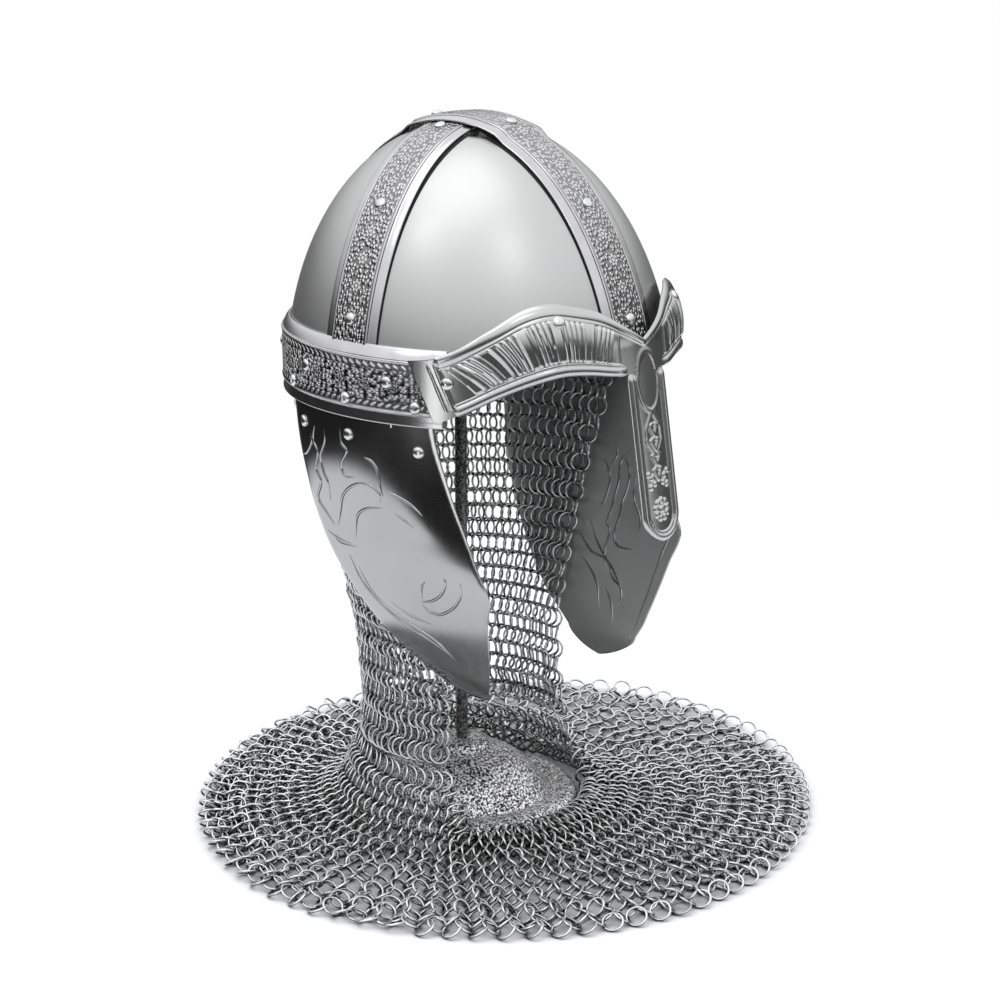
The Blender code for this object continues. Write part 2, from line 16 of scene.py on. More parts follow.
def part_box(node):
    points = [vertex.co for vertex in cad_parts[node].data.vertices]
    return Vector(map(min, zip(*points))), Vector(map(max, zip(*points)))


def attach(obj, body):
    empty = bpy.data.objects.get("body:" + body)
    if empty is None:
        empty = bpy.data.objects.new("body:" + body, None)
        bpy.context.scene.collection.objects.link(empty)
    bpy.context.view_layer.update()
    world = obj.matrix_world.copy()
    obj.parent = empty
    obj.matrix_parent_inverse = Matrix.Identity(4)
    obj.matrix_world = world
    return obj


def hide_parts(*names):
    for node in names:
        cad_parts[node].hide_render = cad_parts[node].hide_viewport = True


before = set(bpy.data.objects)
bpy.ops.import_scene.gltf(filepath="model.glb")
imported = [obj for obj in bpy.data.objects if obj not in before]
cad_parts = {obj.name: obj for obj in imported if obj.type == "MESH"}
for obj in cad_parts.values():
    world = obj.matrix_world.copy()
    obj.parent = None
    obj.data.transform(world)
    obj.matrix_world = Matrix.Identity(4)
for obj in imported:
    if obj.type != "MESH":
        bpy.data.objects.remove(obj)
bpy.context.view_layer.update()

GAP = 0.0003  # clearance between touching pieces

# Stand
BASE_RADIUS = 0.070
BASE_HEIGHT = 0.039
BASE_LIP = 0.008
BOSS_RADIUS = 0.017
BOSS_STEP = 0.005
ROD_RADIUS = 0.0035
HEAD_RADIUS = 0.012
# the stand head's outline: radius and depth below its top, as shares of its size
KNOB = ((0, 0), (0.5, 0.02), (0.8, 0.09), (1, 0.35), (0.8, 0.8), (0.45, 1), (0, 1))

# Brow band: outer half width and half depth of its oval, and the oval's centre line
HALF_WIDTH = 0.105
HALF_DEPTH = 0.1185
RING_Y = -0.0138
BAND_LOW = 0.2575
BAND_HEIGHT = 0.0425
BAND_WALL = 0.0015
BAND_RELIEF = 0.0008
BAND_FLANGE = 0.0065
BAND_LEAN = 0.0013  # the upper edge leans in by this
BAND_FRONT = radians(60.5)  # where each end stops, measured from the face

# Skull
DOME_INSET = 0.0022  # outer face of the panels, in from the band's outer face
DOME_FOOT = 0.267  # the sides are upright below this height
DOME_HEIGHT = 0.1437
DOME_RISE = 1.86
DOME_ROUND = 2.12
DOME_LEAN = 0.003  # the apex lies this far behind the oval's centre
SIDE_STRIP_BACK = 0.0035  # the side strip runs this far behind the apex
PANEL_WALL = 0.0012
PANEL_TUCK_FRONT = 0.0105  # how far the panels reach down inside the brow
PANEL_TUCK_BACK = 0.0235
STRIP_WIDTH = 0.038
STRIP_WALL = 0.0012
STRIP_RELIEF = 0.0007
STRIP_TUCK = 0.0095
STRIP_HUMP = 0.012  # the upper strip stays raised this far past the lower one's edge
STRIP_RAMP = 0.009
STRIP_RAIL = 0.62  # half width of the raised middle, as a share of the strip's half width
STRIP_BEVEL = 0.13  # the step from the middle down to a flange, as the same share

# Brow piece with the nasal
BROW_WALL = 0.0012
BROW_RELIEF = 0.0009
BROW_SPAN = radians(70.7)  # temple end at the upper edge, measured from the face
BROW_SLANT = radians(7.1)  # the temple end slants forward by this
BROW_RISE = 0.0664  # top of the arches above the band's lower edge
BROW_LEAN = 0.0095  # the arch tops lean in by this
NASAL_WIDTH = 0.0285
NASAL_LENGTH = 0.0925
NASAL_SLOPE = 0.155
NASAL_FLARE = 0.028  # width at each side over which the slope dies out
# upper and lower edge: share of the half span, height as a share of BROW_RISE
BROW_UPPER = ((0, 0.658), (0.109, 0.785), (0.226, 0.915), (0.321, 0.965), (0.441, 1.0),
              (0.546, 0.962), (0.696, 0.80), (0.837, 0.632), (0.9, 0.587), (1, 0.557))
BROW_LOWER = ((0, 0.408), (0.117, 0.408), (0.21, 0.42), (0.31, 0.443), (0.446, 0.448),
              (0.572, 0.395), (0.734, 0.282), (0.87, 0.154), (0.962, 0.075), (1, 0.061))

# Cheek plates
CHEEK_WALL = 0.0012
CHEEK_TUCK = 0.017  # how far a plate reaches up inside the band
CHEEK_DROP = 0.1655  # band's lower edge to the tip
# share of the drop (from the top edge), rear and front edge as shares of the half depth from the
# oval's centre, half separation at each as a share of the half width, bulge as a share of the
# half width
CHEEK_SECTIONS = (
    (0.00, 0.513, -0.424, 0.839, 0.888, 0.118),
    (0.14, 0.509, -0.430, 0.838, 0.885, 0.112),
    (0.24, 0.492, -0.478, 0.836, 0.876, 0.098),
    (0.34, 0.464, -0.540, 0.828, 0.868, 0.084),
    (0.44, 0.435, -0.613, 0.806, 0.858, 0.075),
    (0.535, 0.380, -0.678, 0.788, 0.846, 0.066),
    (0.585, 0.344, -0.716, 0.773, 0.833, 0.060),
    (0.69, 0.247, -0.677, 0.731, 0.789, 0.052),
    (0.785, 0.132, -0.642, 0.684, 0.738, 0.042),
    (0.855, 0.019, -0.614, 0.637, 0.697, 0.034),
    (0.915, -0.111, -0.585, 0.600, 0.662, 0.025),
    (0.97, -0.250, -0.535, 0.551, 0.597, 0.013),
    (1.0, -0.365, -0.465, 0.515, 0.520, 0.0),
)

# Mail
MAIL_WALL = 0.003
MAIL_TUCK = 0.0045  # how far the curtain reaches up inside the band
MAIL_FOOT = 0.048  # height where the curtain meets the mantle
# share of the drop, half width and half depth as shares of the curtain's top, centre as a share
# of RING_Y, half opening at the face in degrees
MAIL_SECTIONS = (
    (0.00, 1.000, 1.000, 1.00, 78.8),
    (0.126, 0.955, 0.920, 1.00, 80.7),
    (0.266, 0.896, 0.815, 1.00, 83.9),
    (0.430, 0.828, 0.720, 1.00, 86.0),
    (0.579, 0.700, 0.700, 0.94, 83.5),
    (0.706, 0.580, 0.660, 0.65, 75.5),
    (0.804, 0.570, 0.600, 0.36, 67.0),
    (0.897, 0.580, 0.550, 0.29, 63.0),
    (1.00, 0.622, 0.560, 0.29, 61.0),
)
MANTLE_RADIUS = 0.196
MANTLE_X = 0.0185
MANTLE_Y = -0.019
MANTLE_STRETCH = 0.058
MANTLE_TURN = radians(35)
MANTLE_FRONT = radians(42)  # it lies flat within this angle of the face

# Rivets
RIVET_RADIUS = 0.0034
RIVET_HEIGHT = 0.0018
STRIP_RIVETS = (0.14, 0.5, 0.88)  # along each leg of a strip, from the crown
BAND_RIVET_ANGLES = (77.5, 109.0, 145.0)  # degrees from the face, both sides
CHEEK_RIVETS = (69.0, 91.5, 118.0)  # degrees from the face
CHEEK_RIVET_RISE = 0.011  # clamping rivets above the band's lower edge
CHEEK_PLATE_RIVETS = ((0.10, 0.155), (0.50, 0.150), (0.90, 0.175))  # across and down a plate
BROW_RIVETS = ((0.42, 0.23), (0.885, 0.45))  # along the half span, down from the upper edge

BAND_HIGH = BAND_LOW + BAND_HEIGHT
DOME_TOP = DOME_FOOT + DOME_HEIGHT
PANEL_HALF_WIDTH = HALF_WIDTH - DOME_INSET
PANEL_HALF_DEPTH = HALF_DEPTH - DOME_INSET


def clamp(value, low=0.0, high=1.0):
    return min(max(value, low), high)


def ease(value):
    """Smooth step from 0 to 1."""
    value = clamp(value)
    return value * value * (3 - 2 * value)


@lru_cache(maxsize=None)
def table_slopes(table, column):
    return np.gradient([row[column] for row in table], [row[0] for row in table])


def smooth(table, at, column=1):
    """Value of a table's column at a place along its first column, on a smooth curve."""
    places = [row[0] for row in table]
    values = [row[column] for row in table]
    slopes = table_slopes(table, column)
    k = int(clamp(np.searchsorted(places, at) - 1, 0, len(places) - 2))
    span = places[k + 1] - places[k]
    t = clamp((at - places[k]) / span)
    start = values[k] * (1 + 2 * t) * (1 - t) ** 2 + slopes[k] * span * t * (1 - t) ** 2
    end = values[k + 1] * t * t * (3 - 2 * t) - slopes[k + 1] * span * t * t * (1 - t)
    return start + end


def oval(angle, outset, z):
    """Point on the brow oval; the angle runs from the face towards the wearer's left."""
    x = (HALF_WIDTH + outset) * sin(angle)
    y = RING_Y - (HALF_DEPTH + outset) * cos(angle)
    return Vector((x, y, z))


def surface_frame(surface, u, v, step=0.01):
    """A surface's point at u, v and its unit normal pointing away from the rod."""
    point = surface(u, v)
    across = surface(u + step, v) - surface(u - step, v)
    down = surface(u, v + step) - surface(u, v - step)
    normal = across.cross(down).normalized()
    if normal.dot(Vector((point.x, point.y - RING_Y, 0))) < 0:
        normal.negate()
    return point, normal


def dome_climb(z):
    return clamp((z - DOME_FOOT) / DOME_HEIGHT)


def dome_scale(z):
    """Size of the skull's section at a height, as a share of its foot."""
    return (1 - dome_climb(z) ** DOME_RISE) ** (1 / DOME_ROUND)


def dome_centre(z):
    return RING_Y + DOME_LEAN * dome_climb(z)


def dome_rows(count, low, inner):
    """Evenly spaced (scale, height) pairs down the skull, from a smallest scale to a height."""
    fine_z = [DOME_TOP - (DOME_TOP - low) * (k / 400) ** 2 for k in range(401)]
    fine = [(dome_scale(z), z) for z in fine_z if dome_scale(z) >= inner]
    run = [0.0]
    for (s0, z0), (s1, z1) in zip(fine, fine[1:]):
        run.append(run[-1] + sqrt(((s1 - s0) * PANEL_HALF_WIDTH) ** 2 + (z1 - z0) ** 2))
    at = np.linspace(0, run[-1], count)
    heights = np.interp(at, run, [z for s, z in fine])
    return [(dome_scale(z), z) for z in heights]


def dome_excess(point):
    """Below zero inside the skull's outer face, above zero outside."""
    x = point.x / PANEL_HALF_WIDTH
    y = (point.y - dome_centre(point.z)) / PANEL_HALF_DEPTH
    over = max(point.z - DOME_TOP, 0) / DOME_HEIGHT
    return sqrt(x * x + y * y) - dome_scale(point.z) + over


def on_dome(toward, lift):
    """Point of the skull in a direction from its inner centre, lifted along the normal."""
    centre = Vector((0, RING_Y, DOME_FOOT))
    low, high = 0.0, 2.0
    for _ in range(40):
        middle = (low + high) / 2
        inside = dome_excess(centre + toward * middle) < 0
        low, high = (middle, high) if inside else (low, middle)
    point = centre + toward * low
    return point + on_dome_normal(point) * lift


def on_dome_normal(point):
    step = 0.0005
    axes = (Vector((step, 0, 0)), Vector((0, step, 0)), Vector((0, 0, step)))
    slope = [dome_excess(point + a) - dome_excess(point - a) for a in axes]
    return Vector(slope).normalized()


def strip_line(count):
    """Distance from the crown and height, from one foot of a strip over the crown."""
    leg = dome_rows(count, BAND_HIGH - STRIP_TUCK, 0)
    return [(-s, z) for s, z in leg[::-1]] + leg[1:]


def strip_lift(share, along, hump):
    lift = GAP + (STRIP_RELIEF if abs(share) <= STRIP_RAIL + 0.01 else 0)
    if hump:
        reach = abs(along) - STRIP_WIDTH / 2 - STRIP_HUMP
        lift += (STRIP_WALL + STRIP_RELIEF + 2 * GAP) * (1 - ease(reach / STRIP_RAMP))
    return lift


def strip_point(lengthwise, share, s, z, hump):
    """Point of a strip's lower face; lengthwise is True for the front-to-back strip."""
    across = share * STRIP_WIDTH / 2
    if lengthwise:
        along = s * PANEL_HALF_DEPTH
        toward = Vector((across, dome_centre(z) + along - RING_Y, z - DOME_FOOT))
    else:
        along = s * PANEL_HALF_WIDTH
        across += dome_centre(z) - RING_Y + SIDE_STRIP_BACK
        toward = Vector((along, across, z - DOME_FOOT))
    return on_dome(toward, strip_lift(share, along, hump))


def brow_edges(share):
    """Heights of the upper and lower edge at a share of the half span."""
    upper = BAND_LOW + BROW_RISE * smooth(BROW_UPPER, abs(share))
    lower = BAND_LOW + BROW_RISE * smooth(BROW_LOWER, abs(share))
    return upper, lower


def brow_surface(angle, z, relief=0.0):
    """Inner face of the brow piece, which leans in at the arches and out at the nasal."""
    outset = BAND_RELIEF + GAP + relief
    outset -= BROW_LEAN * clamp((z - BAND_HIGH) / (BAND_LOW + BROW_RISE - BAND_HIGH)) ** 2
    point = oval(angle, outset, z)
    side = ease((abs(point.x) - NASAL_WIDTH / 2) / NASAL_FLARE)
    point.y -= NASAL_SLOPE * max(BAND_HIGH - z, 0) * (1 - side)
    return point


def brow_point(share, down, relief=0.0):
    upper, lower = brow_edges(share)
    angle = share * (BROW_SPAN - BROW_SLANT * down)
    return brow_surface(angle, upper + (lower - upper) * down, relief)


def nasal_angle(across):
    return asin(across / (HALF_WIDTH + BAND_RELIEF + GAP))


def cheek_point(side, across, down):
    """Outer face of a cheek plate; across runs from the rear edge to the front edge."""
    rear, front, rear_x, front_x, bulge = (smooth(CHEEK_SECTIONS, down, c) for c in range(1, 6))
    depth = HALF_DEPTH - BAND_WALL - GAP
    width = HALF_WIDTH - BAND_WALL - GAP
    y = RING_Y + depth * (rear + (front - rear) * across)
    bow = 4 * across * (1 - across)
    x = width * (rear_x + (front_x - rear_x) * across + bulge * bow)
    top = sqrt(max(width * width * (1 - ((y - RING_Y) / depth) ** 2), 0))
    x += (top - x) * (1 - ease((down - 0.12) / 0.12)) if down < 0.24 else 0
    z = BAND_LOW + CHEEK_TUCK - (CHEEK_DROP + CHEEK_TUCK) * down
    return Vector((side * x, y, z))


def mail_section(down):
    """Half width, half depth, centre and half opening of the curtain's outer face."""
    inset = BAND_WALL + CHEEK_WALL + 3 * GAP
    wide = (HALF_WIDTH - inset) * smooth(MAIL_SECTIONS, down, 1)
    deep = (HALF_DEPTH - inset) * smooth(MAIL_SECTIONS, down, 2)
    centre = RING_Y * smooth(MAIL_SECTIONS, down, 3)
    return wide, deep, centre, radians(smooth(MAIL_SECTIONS, down, 4))


def mantle_rim(turn):
    """Point of the mantle's rim on the floor, an oval laid askew."""
    swell = 1 + MANTLE_STRETCH * cos(2 * (turn - pi / 2 - MANTLE_TURN))
    radius = MANTLE_RADIUS * swell
    return Vector((MANTLE_X + radius * sin(turn), MANTLE_Y - radius * cos(turn), 0))


def mantle_neck(turn):
    """Inner edge: under the curtain at the back and sides, on the floor before the stand."""
    wide, deep, centre, opening = mail_section(1)
    inward = MAIL_WALL
    raised = Vector(((wide - inward) * sin(turn), centre - (deep - inward) * cos(turn), 0))
    laid = (BASE_RADIUS + 0.0035) * Vector((sin(turn), -cos(turn), 0))
    from_face = abs((turn + pi) % (2 * pi) - pi)
    rise = ease((from_face - MANTLE_FRONT) / (opening - MANTLE_FRONT))
    point = laid.lerp(raised, rise)
    point.z = rise * (MAIL_FOOT - 0.4 * MAIL_WALL - GAP)
    return point


def oval_normal(angle):
    return Vector((sin(angle) / HALF_WIDTH, -cos(angle) / HALF_DEPTH, 0)).normalized()


# Mail rings: radius of the wire's centre line and of the wire
RING = 0.0056
WIRE = 0.0007
RING_SIDES = 16
WIRE_SIDES = 6
CURTAIN_COLUMNS = 51
FRONT_COLUMNS = 29
LAID_ROWS = 23
HUNG_START = 0.02  # first hanging row, as a share of the drop
HUNG_REACH = 0.985  # the last hanging row stops short of the seam by the rest of this
LAID_START = 0.028  # first laid row, as a share of the way to the rim
HUNG_LEAN = radians(20)
LAID_LEAN = radians(27)
EDGE_LEAN = radians(38)
LAID_FALL = 0.010  # the rings fall more steeply onto the base than the plain solid does
LAID_LIFT = 0.0026
FOLD_LENGTH = 0.024
FOLD_HEIGHT = 0.0016

# Steps of the brow's mesh: along each arch, from the nasal's middle to its side, and down it
BROW_STEPS = 290
NASAL_STEPS = 20
NASAL_ROWS = 170
PLAIN_SHARE = 0.15  # the arches are plain sheet up to this share of the half span

# Camera fitted to the photograph
PHOTO_SIZE = 1000
CAMERA_AZIMUTH = radians(-48.64)
CAMERA_ELEVATION = radians(15.25)
CAMERA_DISTANCE = 1.501
CAMERA_LENS = 91.9
CAMERA_SENSOR = 36
AIM_RIGHT = 0.02287
AIM_HEIGHT = 0.18686

# Room
FLOOR_REACH = 1.4
FLOOR_FADE = (0.60, 0.72)
FLOOR_MIDDLE = (0.07, -0.08, 0.0)
DARK_SIDE = (-sin(radians(138)), -cos(radians(138)), 0.0)  # heading of the room's dark end


# Materials

class Field:
    """A number that varies over a surface; arithmetic on it makes the shader's math nodes."""

    def __init__(self, tree, socket):
        self.tree = tree
        self.socket = socket

    def math(self, operation, *others):
        inputs = dict(enumerate((self,) + others))
        made = node(self.tree, "ShaderNodeMath", inputs, operation=operation)
        return Field(self.tree, made.outputs[0])

    def __add__(self, other):
        return self.math("ADD", other)

    def __sub__(self, other):
        return self.math("SUBTRACT", other)

    def __mul__(self, other):
        return self.math("MULTIPLY", other)

    def __truediv__(self, other):
        return self.math("DIVIDE", other)

    def between(self, low, high, start, end, shape="SMOOTHSTEP"):
        """Goes from start to end while the field goes from low to high."""
        inputs = {0: self, 1: low, 2: high, 3: start, 4: end}
        made = node(self.tree, "ShaderNodeMapRange", inputs, interpolation_type=shape)
        return Field(self.tree, made.outputs[0])

    def ramp(self, stops):
        """Grey at each stop, a place and a shade."""
        made = node(self.tree, "ShaderNodeValToRGB", {"Fac": self})
        elements = made.color_ramp.elements
        while len(elements) < len(stops):
            elements.new(0.5)
        for element, (place, shade) in zip(elements, stops):
            element.position = place
            element.color = (shade, shade, shade * 1.01, 1)
        return made.outputs["Color"]

    def tinted(self, green, blue):
        inputs = {0: self, 1: self * green, 2: self * blue}
        return node(self.tree, "ShaderNodeCombineColor", inputs).outputs[0]


def new_material(name):
    mat = bpy.data.materials.new(name)
    mat.use_nodes = True
    return mat, mat.node_tree, mat.node_tree.nodes["Principled BSDF"]


def node(tree, kind, inputs=None, **settings):
    """Adds a node; inputs is a dict of constants, or of fields or sockets to link from."""
    made = tree.nodes.new(kind)
    for key, value in settings.items():
        setattr(made, key, value)
    for key, value in (inputs or {}).items():
        value = value.socket if isinstance(value, Field) else value
        if isinstance(value, bpy.types.NodeSocket):
            tree.links.new(value, made.inputs[key])
        else:
            made.inputs[key].default_value = value
    return made


def metres(tree):
    """The piece's own place in metres."""
    return node(tree, "ShaderNodeTexCoord").outputs["Object"]


def stretched(tree, place, scale):
    return node(tree, "ShaderNodeMapping", {"Vector": place, "Scale": scale}).outputs[0]


def noise(tree, place, scale, detail=2.0, roughness=0.5, distortion=0.0):
    inputs = {"Vector": place, "Scale": scale, "Detail": detail, "Roughness": roughness,
              "Distortion": distortion}
    return Field(tree, node(tree, "ShaderNodeTexNoise", inputs).outputs["Fac"])


def openness(tree, distance, samples):
    """How open a place is within a distance, from 0 to 1."""
    made = node(tree, "ShaderNodeAmbientOcclusion", {"Distance": distance}, samples=samples)
    return Field(tree, made.outputs["AO"])


def mixed(tree, share, first, second):
    inputs = {0: share, 6: first, 7: second}
    return node(tree, "ShaderNodeMix", inputs, data_type="RGBA").outputs[2]


def dress(mat, colour, roughness, relief, metallic=1.0):
    """Links colour and roughness; relief is a height, the bump's strength and its distance."""
    tree, inputs = mat.node_tree, mat.node_tree.nodes["Principled BSDF"].inputs
    height, strength, distance = relief
    bump = node(tree, "ShaderNodeBump", {"Height": height, "Strength": strength,
                                         "Distance": distance})
    tree.links.new(colour, inputs["Base Color"])
    tree.links.new(getattr(roughness, "socket", roughness), inputs["Roughness"])
    tree.links.new(bump.outputs[0], inputs["Normal"])
    inputs["Metallic"].default_value = metallic
    return mat


def steel(name, shade, roughness, cloud=0.05):
    """Rolled steel with faint clouds, fine scratches and small changes of polish."""
    mat, tree, _ = new_material(name)
    place = metres(tree)
    broad = noise(tree, place, 22.0, 3.0)
    fine = noise(tree, place, 900.0, 4.0, 0.7)
    lines = noise(tree, stretched(tree, place, (900, 900, 60)), 1.0)
    colour = (broad * (2 * cloud) + (shade - cloud)).tinted(1.008, 1.005)
    polish = lines * 0.05 + (broad * 0.10 + (roughness - 0.05))
    return dress(mat, colour, polish, (fine * 0.4 + lines, 0.06, 0.0002))


def embossed_steel(name, half, pad, border, depth):
    """Pressed pebbles and flowers between plain flanges; U runs across, V along.

    A border adds a row of slanted leaves at each side. The relief fades up the skull.
    Painted shade darkens its recesses and a painted highlight lightens its raised parts, fainter
    up the skull.
    """
    mat, tree, _ = new_material(name)
    uv = node(tree, "ShaderNodeUVMap").outputs["UV"]
    split = node(tree, "ShaderNodeSeparateXYZ", {0: uv})
    across, along = Field(tree, split.outputs[0]), Field(tree, split.outputs[1])
    side = across.math("ABSOLUTE")
    warp = node(tree, "ShaderNodeTexNoise", {"Vector": uv, "Scale": 300.0, "Detail": 2.0})
    moved = node(tree, "ShaderNodeVectorMath", {0: warp.outputs["Color"], 1: (0.0016,) * 3},
                 operation="MULTIPLY")
    place = node(tree, "ShaderNodeVectorMath", {0: uv, 1: moved.outputs[0]}, operation="ADD")
    drawn = stretched(tree, place.outputs[0], (1.0, 0.72, 1))
    cells = node(tree, "ShaderNodeTexVoronoi", {"Vector": drawn, "Scale": 1 / pad,
                                                "Randomness": 0.75}, voronoi_dimensions="2D")
    height = Field(tree, cells.outputs["Distance"]).between(0.10, 0.60, 1.0, 0.0)
    step = 0.0175 if border else 0.0155
    lengthwise = ((along / step).math("FRACT") - 0.5) * step
    radius = (lengthwise * lengthwise + across * across).math("SQRT")
    petals = (across.math("ARCTAN2", lengthwise) * 7.0).math("COSINE")
    from_reach = radius - (petals * 0.0007 + 0.0035)
    heart = (radius - 0.0014).math("ABSOLUTE").between(0.0001, 0.0006, 0.85, 0.0)
    flower = from_reach.between(-0.0009, 0.0001, 1.0, 0.0) - heart
    clearing = from_reach.between(0.0002, 0.0012, 0.0, 1.0)
    height = (height * clearing).math("MAXIMUM", flower)
    if border:
        leaf = (((side * 1.1 + along) / 0.0047).math("FRACT") - 0.5) * 2.6
        cross = (side - (half - 0.0025)) / 0.0019
        leaves = (leaf * leaf + cross * cross).between(0.15, 1.0, 1.15, 0.0)
        at_side = side.between(half - 0.0052, half - 0.0044, 0.0, 1.0)
        made = node(tree, "ShaderNodeMix", {0: at_side, 2: height, 3: leaves})
        height = Field(tree, made.outputs[0])
    inside = side.between(half - 0.0009, half - 0.0001, 1.0, 0.0)
    rail = (side - (half + 0.0008)).math("ABSOLUTE").between(0.0002, 0.0008, 1.0, 0.0)
    up = Field(tree, node(tree, "ShaderNodeSeparateXYZ", {0: metres(tree)}).outputs[2])
    depth_here = up.between(0.295, 0.37, 1.0, 0.45)
    relief = rail * 0.7 + height * inside * depth_here
    # painted shade in the recesses and painted highlight on the raised parts, strong low down and
    # faint up the skull
    dark = height.ramp(((0.0, 0.10), (0.40, 0.34), (0.85, 0.64)))
    faint_shade_and_highlight = height.ramp(((0.0, 0.36), (0.40, 0.48), (0.85, 0.60)))
    flat = noise(tree, uv, 60.0, 3.0).ramp(((0.25, 0.48), (0.75, 0.58)))
    colour = mixed(tree, inside, flat, mixed(tree, depth_here, faint_shade_and_highlight, dark))
    return dress(mat, colour, inside * -0.03 + 0.22, (relief, 1.0, depth))


def hammertone(name, fleck):
    """Black paint broken by silver flecks; fleck is how bright they are."""
    mat, tree, shader = new_material(name)
    grain = noise(tree, metres(tree), 760.0, 2.0, 0.65, 0.6)
    colour = grain.ramp(((0.475, 0.006), (0.51, 0.35 * fleck), (0.545, fleck)))
    shader.inputs["Coat Weight"].default_value = 0.3
    return dress(mat, colour, grain.ramp(((0.4, 0.28), (0.6, 0.42))), (grain, 0.35, 0.0005), 0.45)


def wire_steel(name):
    """Bright wire, a little uneven ring to ring, with painted shade in the weave and inside the
    helmet.
    """
    mat, tree, _ = new_material(name)
    attribute = node(tree, "ShaderNodeAttribute", attribute_name="ring")
    ring = Field(tree, attribute.outputs["Fac"])
    place = metres(tree)
    tone = noise(tree, place, 30.0) * 0.12 + (ring * 0.16 + 0.56)
    # painted shade: darker where the wire is closed in by the rings around it
    tone = tone * openness(tree, 0.006, 6).between(0.42, 0.90, 0.03, 1.0, "LINEAR")
    # painted shade: darker inside the helmet, where the curtain is closed in
    tone = tone * openness(tree, 0.09, 5).between(0.20, 0.55, 0.25, 1.0, "LINEAR")
    return dress(mat, tone.tinted(1.035, 1.03), ring * 0.08 + 0.20,
                 (noise(tree, place, 1500.0), 0.1, 0.0001))


# Near-black material: painted shade for the gap beside a strip, where the panel meets it
def painted_gap_shade(name):
    mat, tree, shader = new_material(name)
    colour = noise(tree, metres(tree), 400.0).ramp(((0.3, 0.004), (0.7, 0.012)))
    tree.links.new(colour, shader.inputs["Base Color"])
    shader.inputs["Roughness"].default_value = 0.8
    return mat


# Making pieces

def add_object(name, data):
    made = bpy.data.objects.new(name, data)
    bpy.context.scene.collection.objects.link(made)
    return made


def piece(name, mesh, mats, nodes):
    for mat in mats:
        mesh.materials.append(mat)
    made = add_object(name, mesh)
    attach(made, "root")
    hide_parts(*nodes)
    return made


def grid_mesh(name, *grids):
    """Mesh of grids, each its rows, its UVs or None, and whether its rows are closed rings.

    Rows run down and columns turn left.
    """
    points, faces, marks = [], [], []
    for rows, uvs, closed in grids:
        start, columns = len(points), len(rows[0])
        points += [point for row in rows for point in row]
        flat_uv = [uv for row in uvs for uv in row] if uvs else None
        for r in range(len(rows) - 1):
            for c in range(columns if closed else columns - 1):
                d = (c + 1) % columns
                cell = (r * columns + c, (r + 1) * columns + c, (r + 1) * columns + d,
                        r * columns + d)
                faces.append([start + k for k in cell])
                marks += [flat_uv[k] if flat_uv else (0, 0) for k in cell]
    mesh = bpy.data.meshes.new(name)
    mesh.from_pydata(points, [], faces)
    layer = mesh.uv_layers.new(name="UVMap")
    layer.data.foreach_set("uv", np.array(marks, dtype=np.float32).ravel())
    mesh.shade_smooth()
    return mesh


def give_wall(made, wall, offset, inner=0):
    """Thickens a sheet; inner is the place of the inner face's material."""
    solidify = made.modifiers.new("wall", "SOLIDIFY")
    solidify.material_offset = inner
    solidify.thickness = wall
    solidify.offset = offset
    solidify.use_even_offset = True
    bevel = made.modifiers.new("edge", "BEVEL")
    bevel.width = wall * 0.3
    bevel.segments = 2
    bevel.limit_method = "ANGLE"
    bevel.angle_limit = radians(60)


def turned_mesh(name, profile, steps, places=(Matrix.Identity(4),)):
    """Turned shapes from one profile of radius and height, top to bottom, at several places."""
    grids = []
    for place in places:
        rows = [[place @ Vector((r * cos(2 * pi * k / steps), r * sin(2 * pi * k / steps), z))
                 for k in range(steps)] for r, z in profile]
        grids.append((rows, None, True))
    mesh = grid_mesh(name, *grids)
    mesh.set_sharp_from_angle(angle=radians(40))
    return mesh


# Skull

PANEL_ROWS = 44
PANEL_COLUMNS = 26
PANEL_APEX = 0.29  # a panel ends at this share of its foot's size, under the crossing
PANEL_HIDDEN = 0.009  # how far a panel reaches in under a strip
STRIP_ROWS = 60


def gap_shade_width(z):
    """The painted shade beside a strip widens towards the crown."""
    return 0.0008 + 0.0030 * dome_climb(z) ** 4


def detailed_panel(name, side, end, tuck, steel_mat, gap_shade_mat):
    """A panel whose two outer columns at each side, under and just beside a strip, are painted
    near black: painted shade for the gap there.
    """
    rows, uvs = [], []
    half = STRIP_WIDTH / 2
    for scale, z in dome_rows(PANEL_ROWS, BAND_HIGH - tuck, PANEL_APEX):
        wide, deep = PANEL_HALF_WIDTH * scale, PANEL_HALF_DEPTH * scale
        low = asin(min((half + end * SIDE_STRIP_BACK) / deep, 0.999))
        high = acos(min(half / wide, 0.999))
        high = max(high, low + 0.02)
        hidden = PANEL_HIDDEN / deep
        gap = min(gap_shade_width(z) / deep, (high - low) * 0.35)
        turns = [low - hidden, low - 0.3 * hidden, low + gap]
        turns += list(np.linspace(low + gap, high - gap, PANEL_COLUMNS))[1:-1]
        turns += [high - gap, high + 0.3 * hidden, high + hidden]
        row, uv = [], []
        for turn in turns:
            x, y = side * wide * cos(turn), dome_centre(z) + end * deep * sin(turn)
            row.append(Vector((x, y, z)))
            uv.append((turn * deep, z))
        flip = side * end < 0
        rows.append(row[::-1] if flip else row)
        uvs.append(uv[::-1] if flip else uv)
    mesh = grid_mesh(name, (rows, uvs, False))
    columns = len(rows[0]) - 1
    marks = np.zeros((len(rows) - 1, columns), dtype=np.int32)
    # painted shade: the two columns at each side, under and just beside a strip, take the
    # near-black material
    marks[:, :2] = 1
    marks[:, -2:] = 1
    mesh.polygons.foreach_set("material_index", marks.ravel())
    made = piece("skull_" + name, mesh, (steel_mat, gap_shade_mat), (name,))
    give_wall(made, PANEL_WALL, -1)


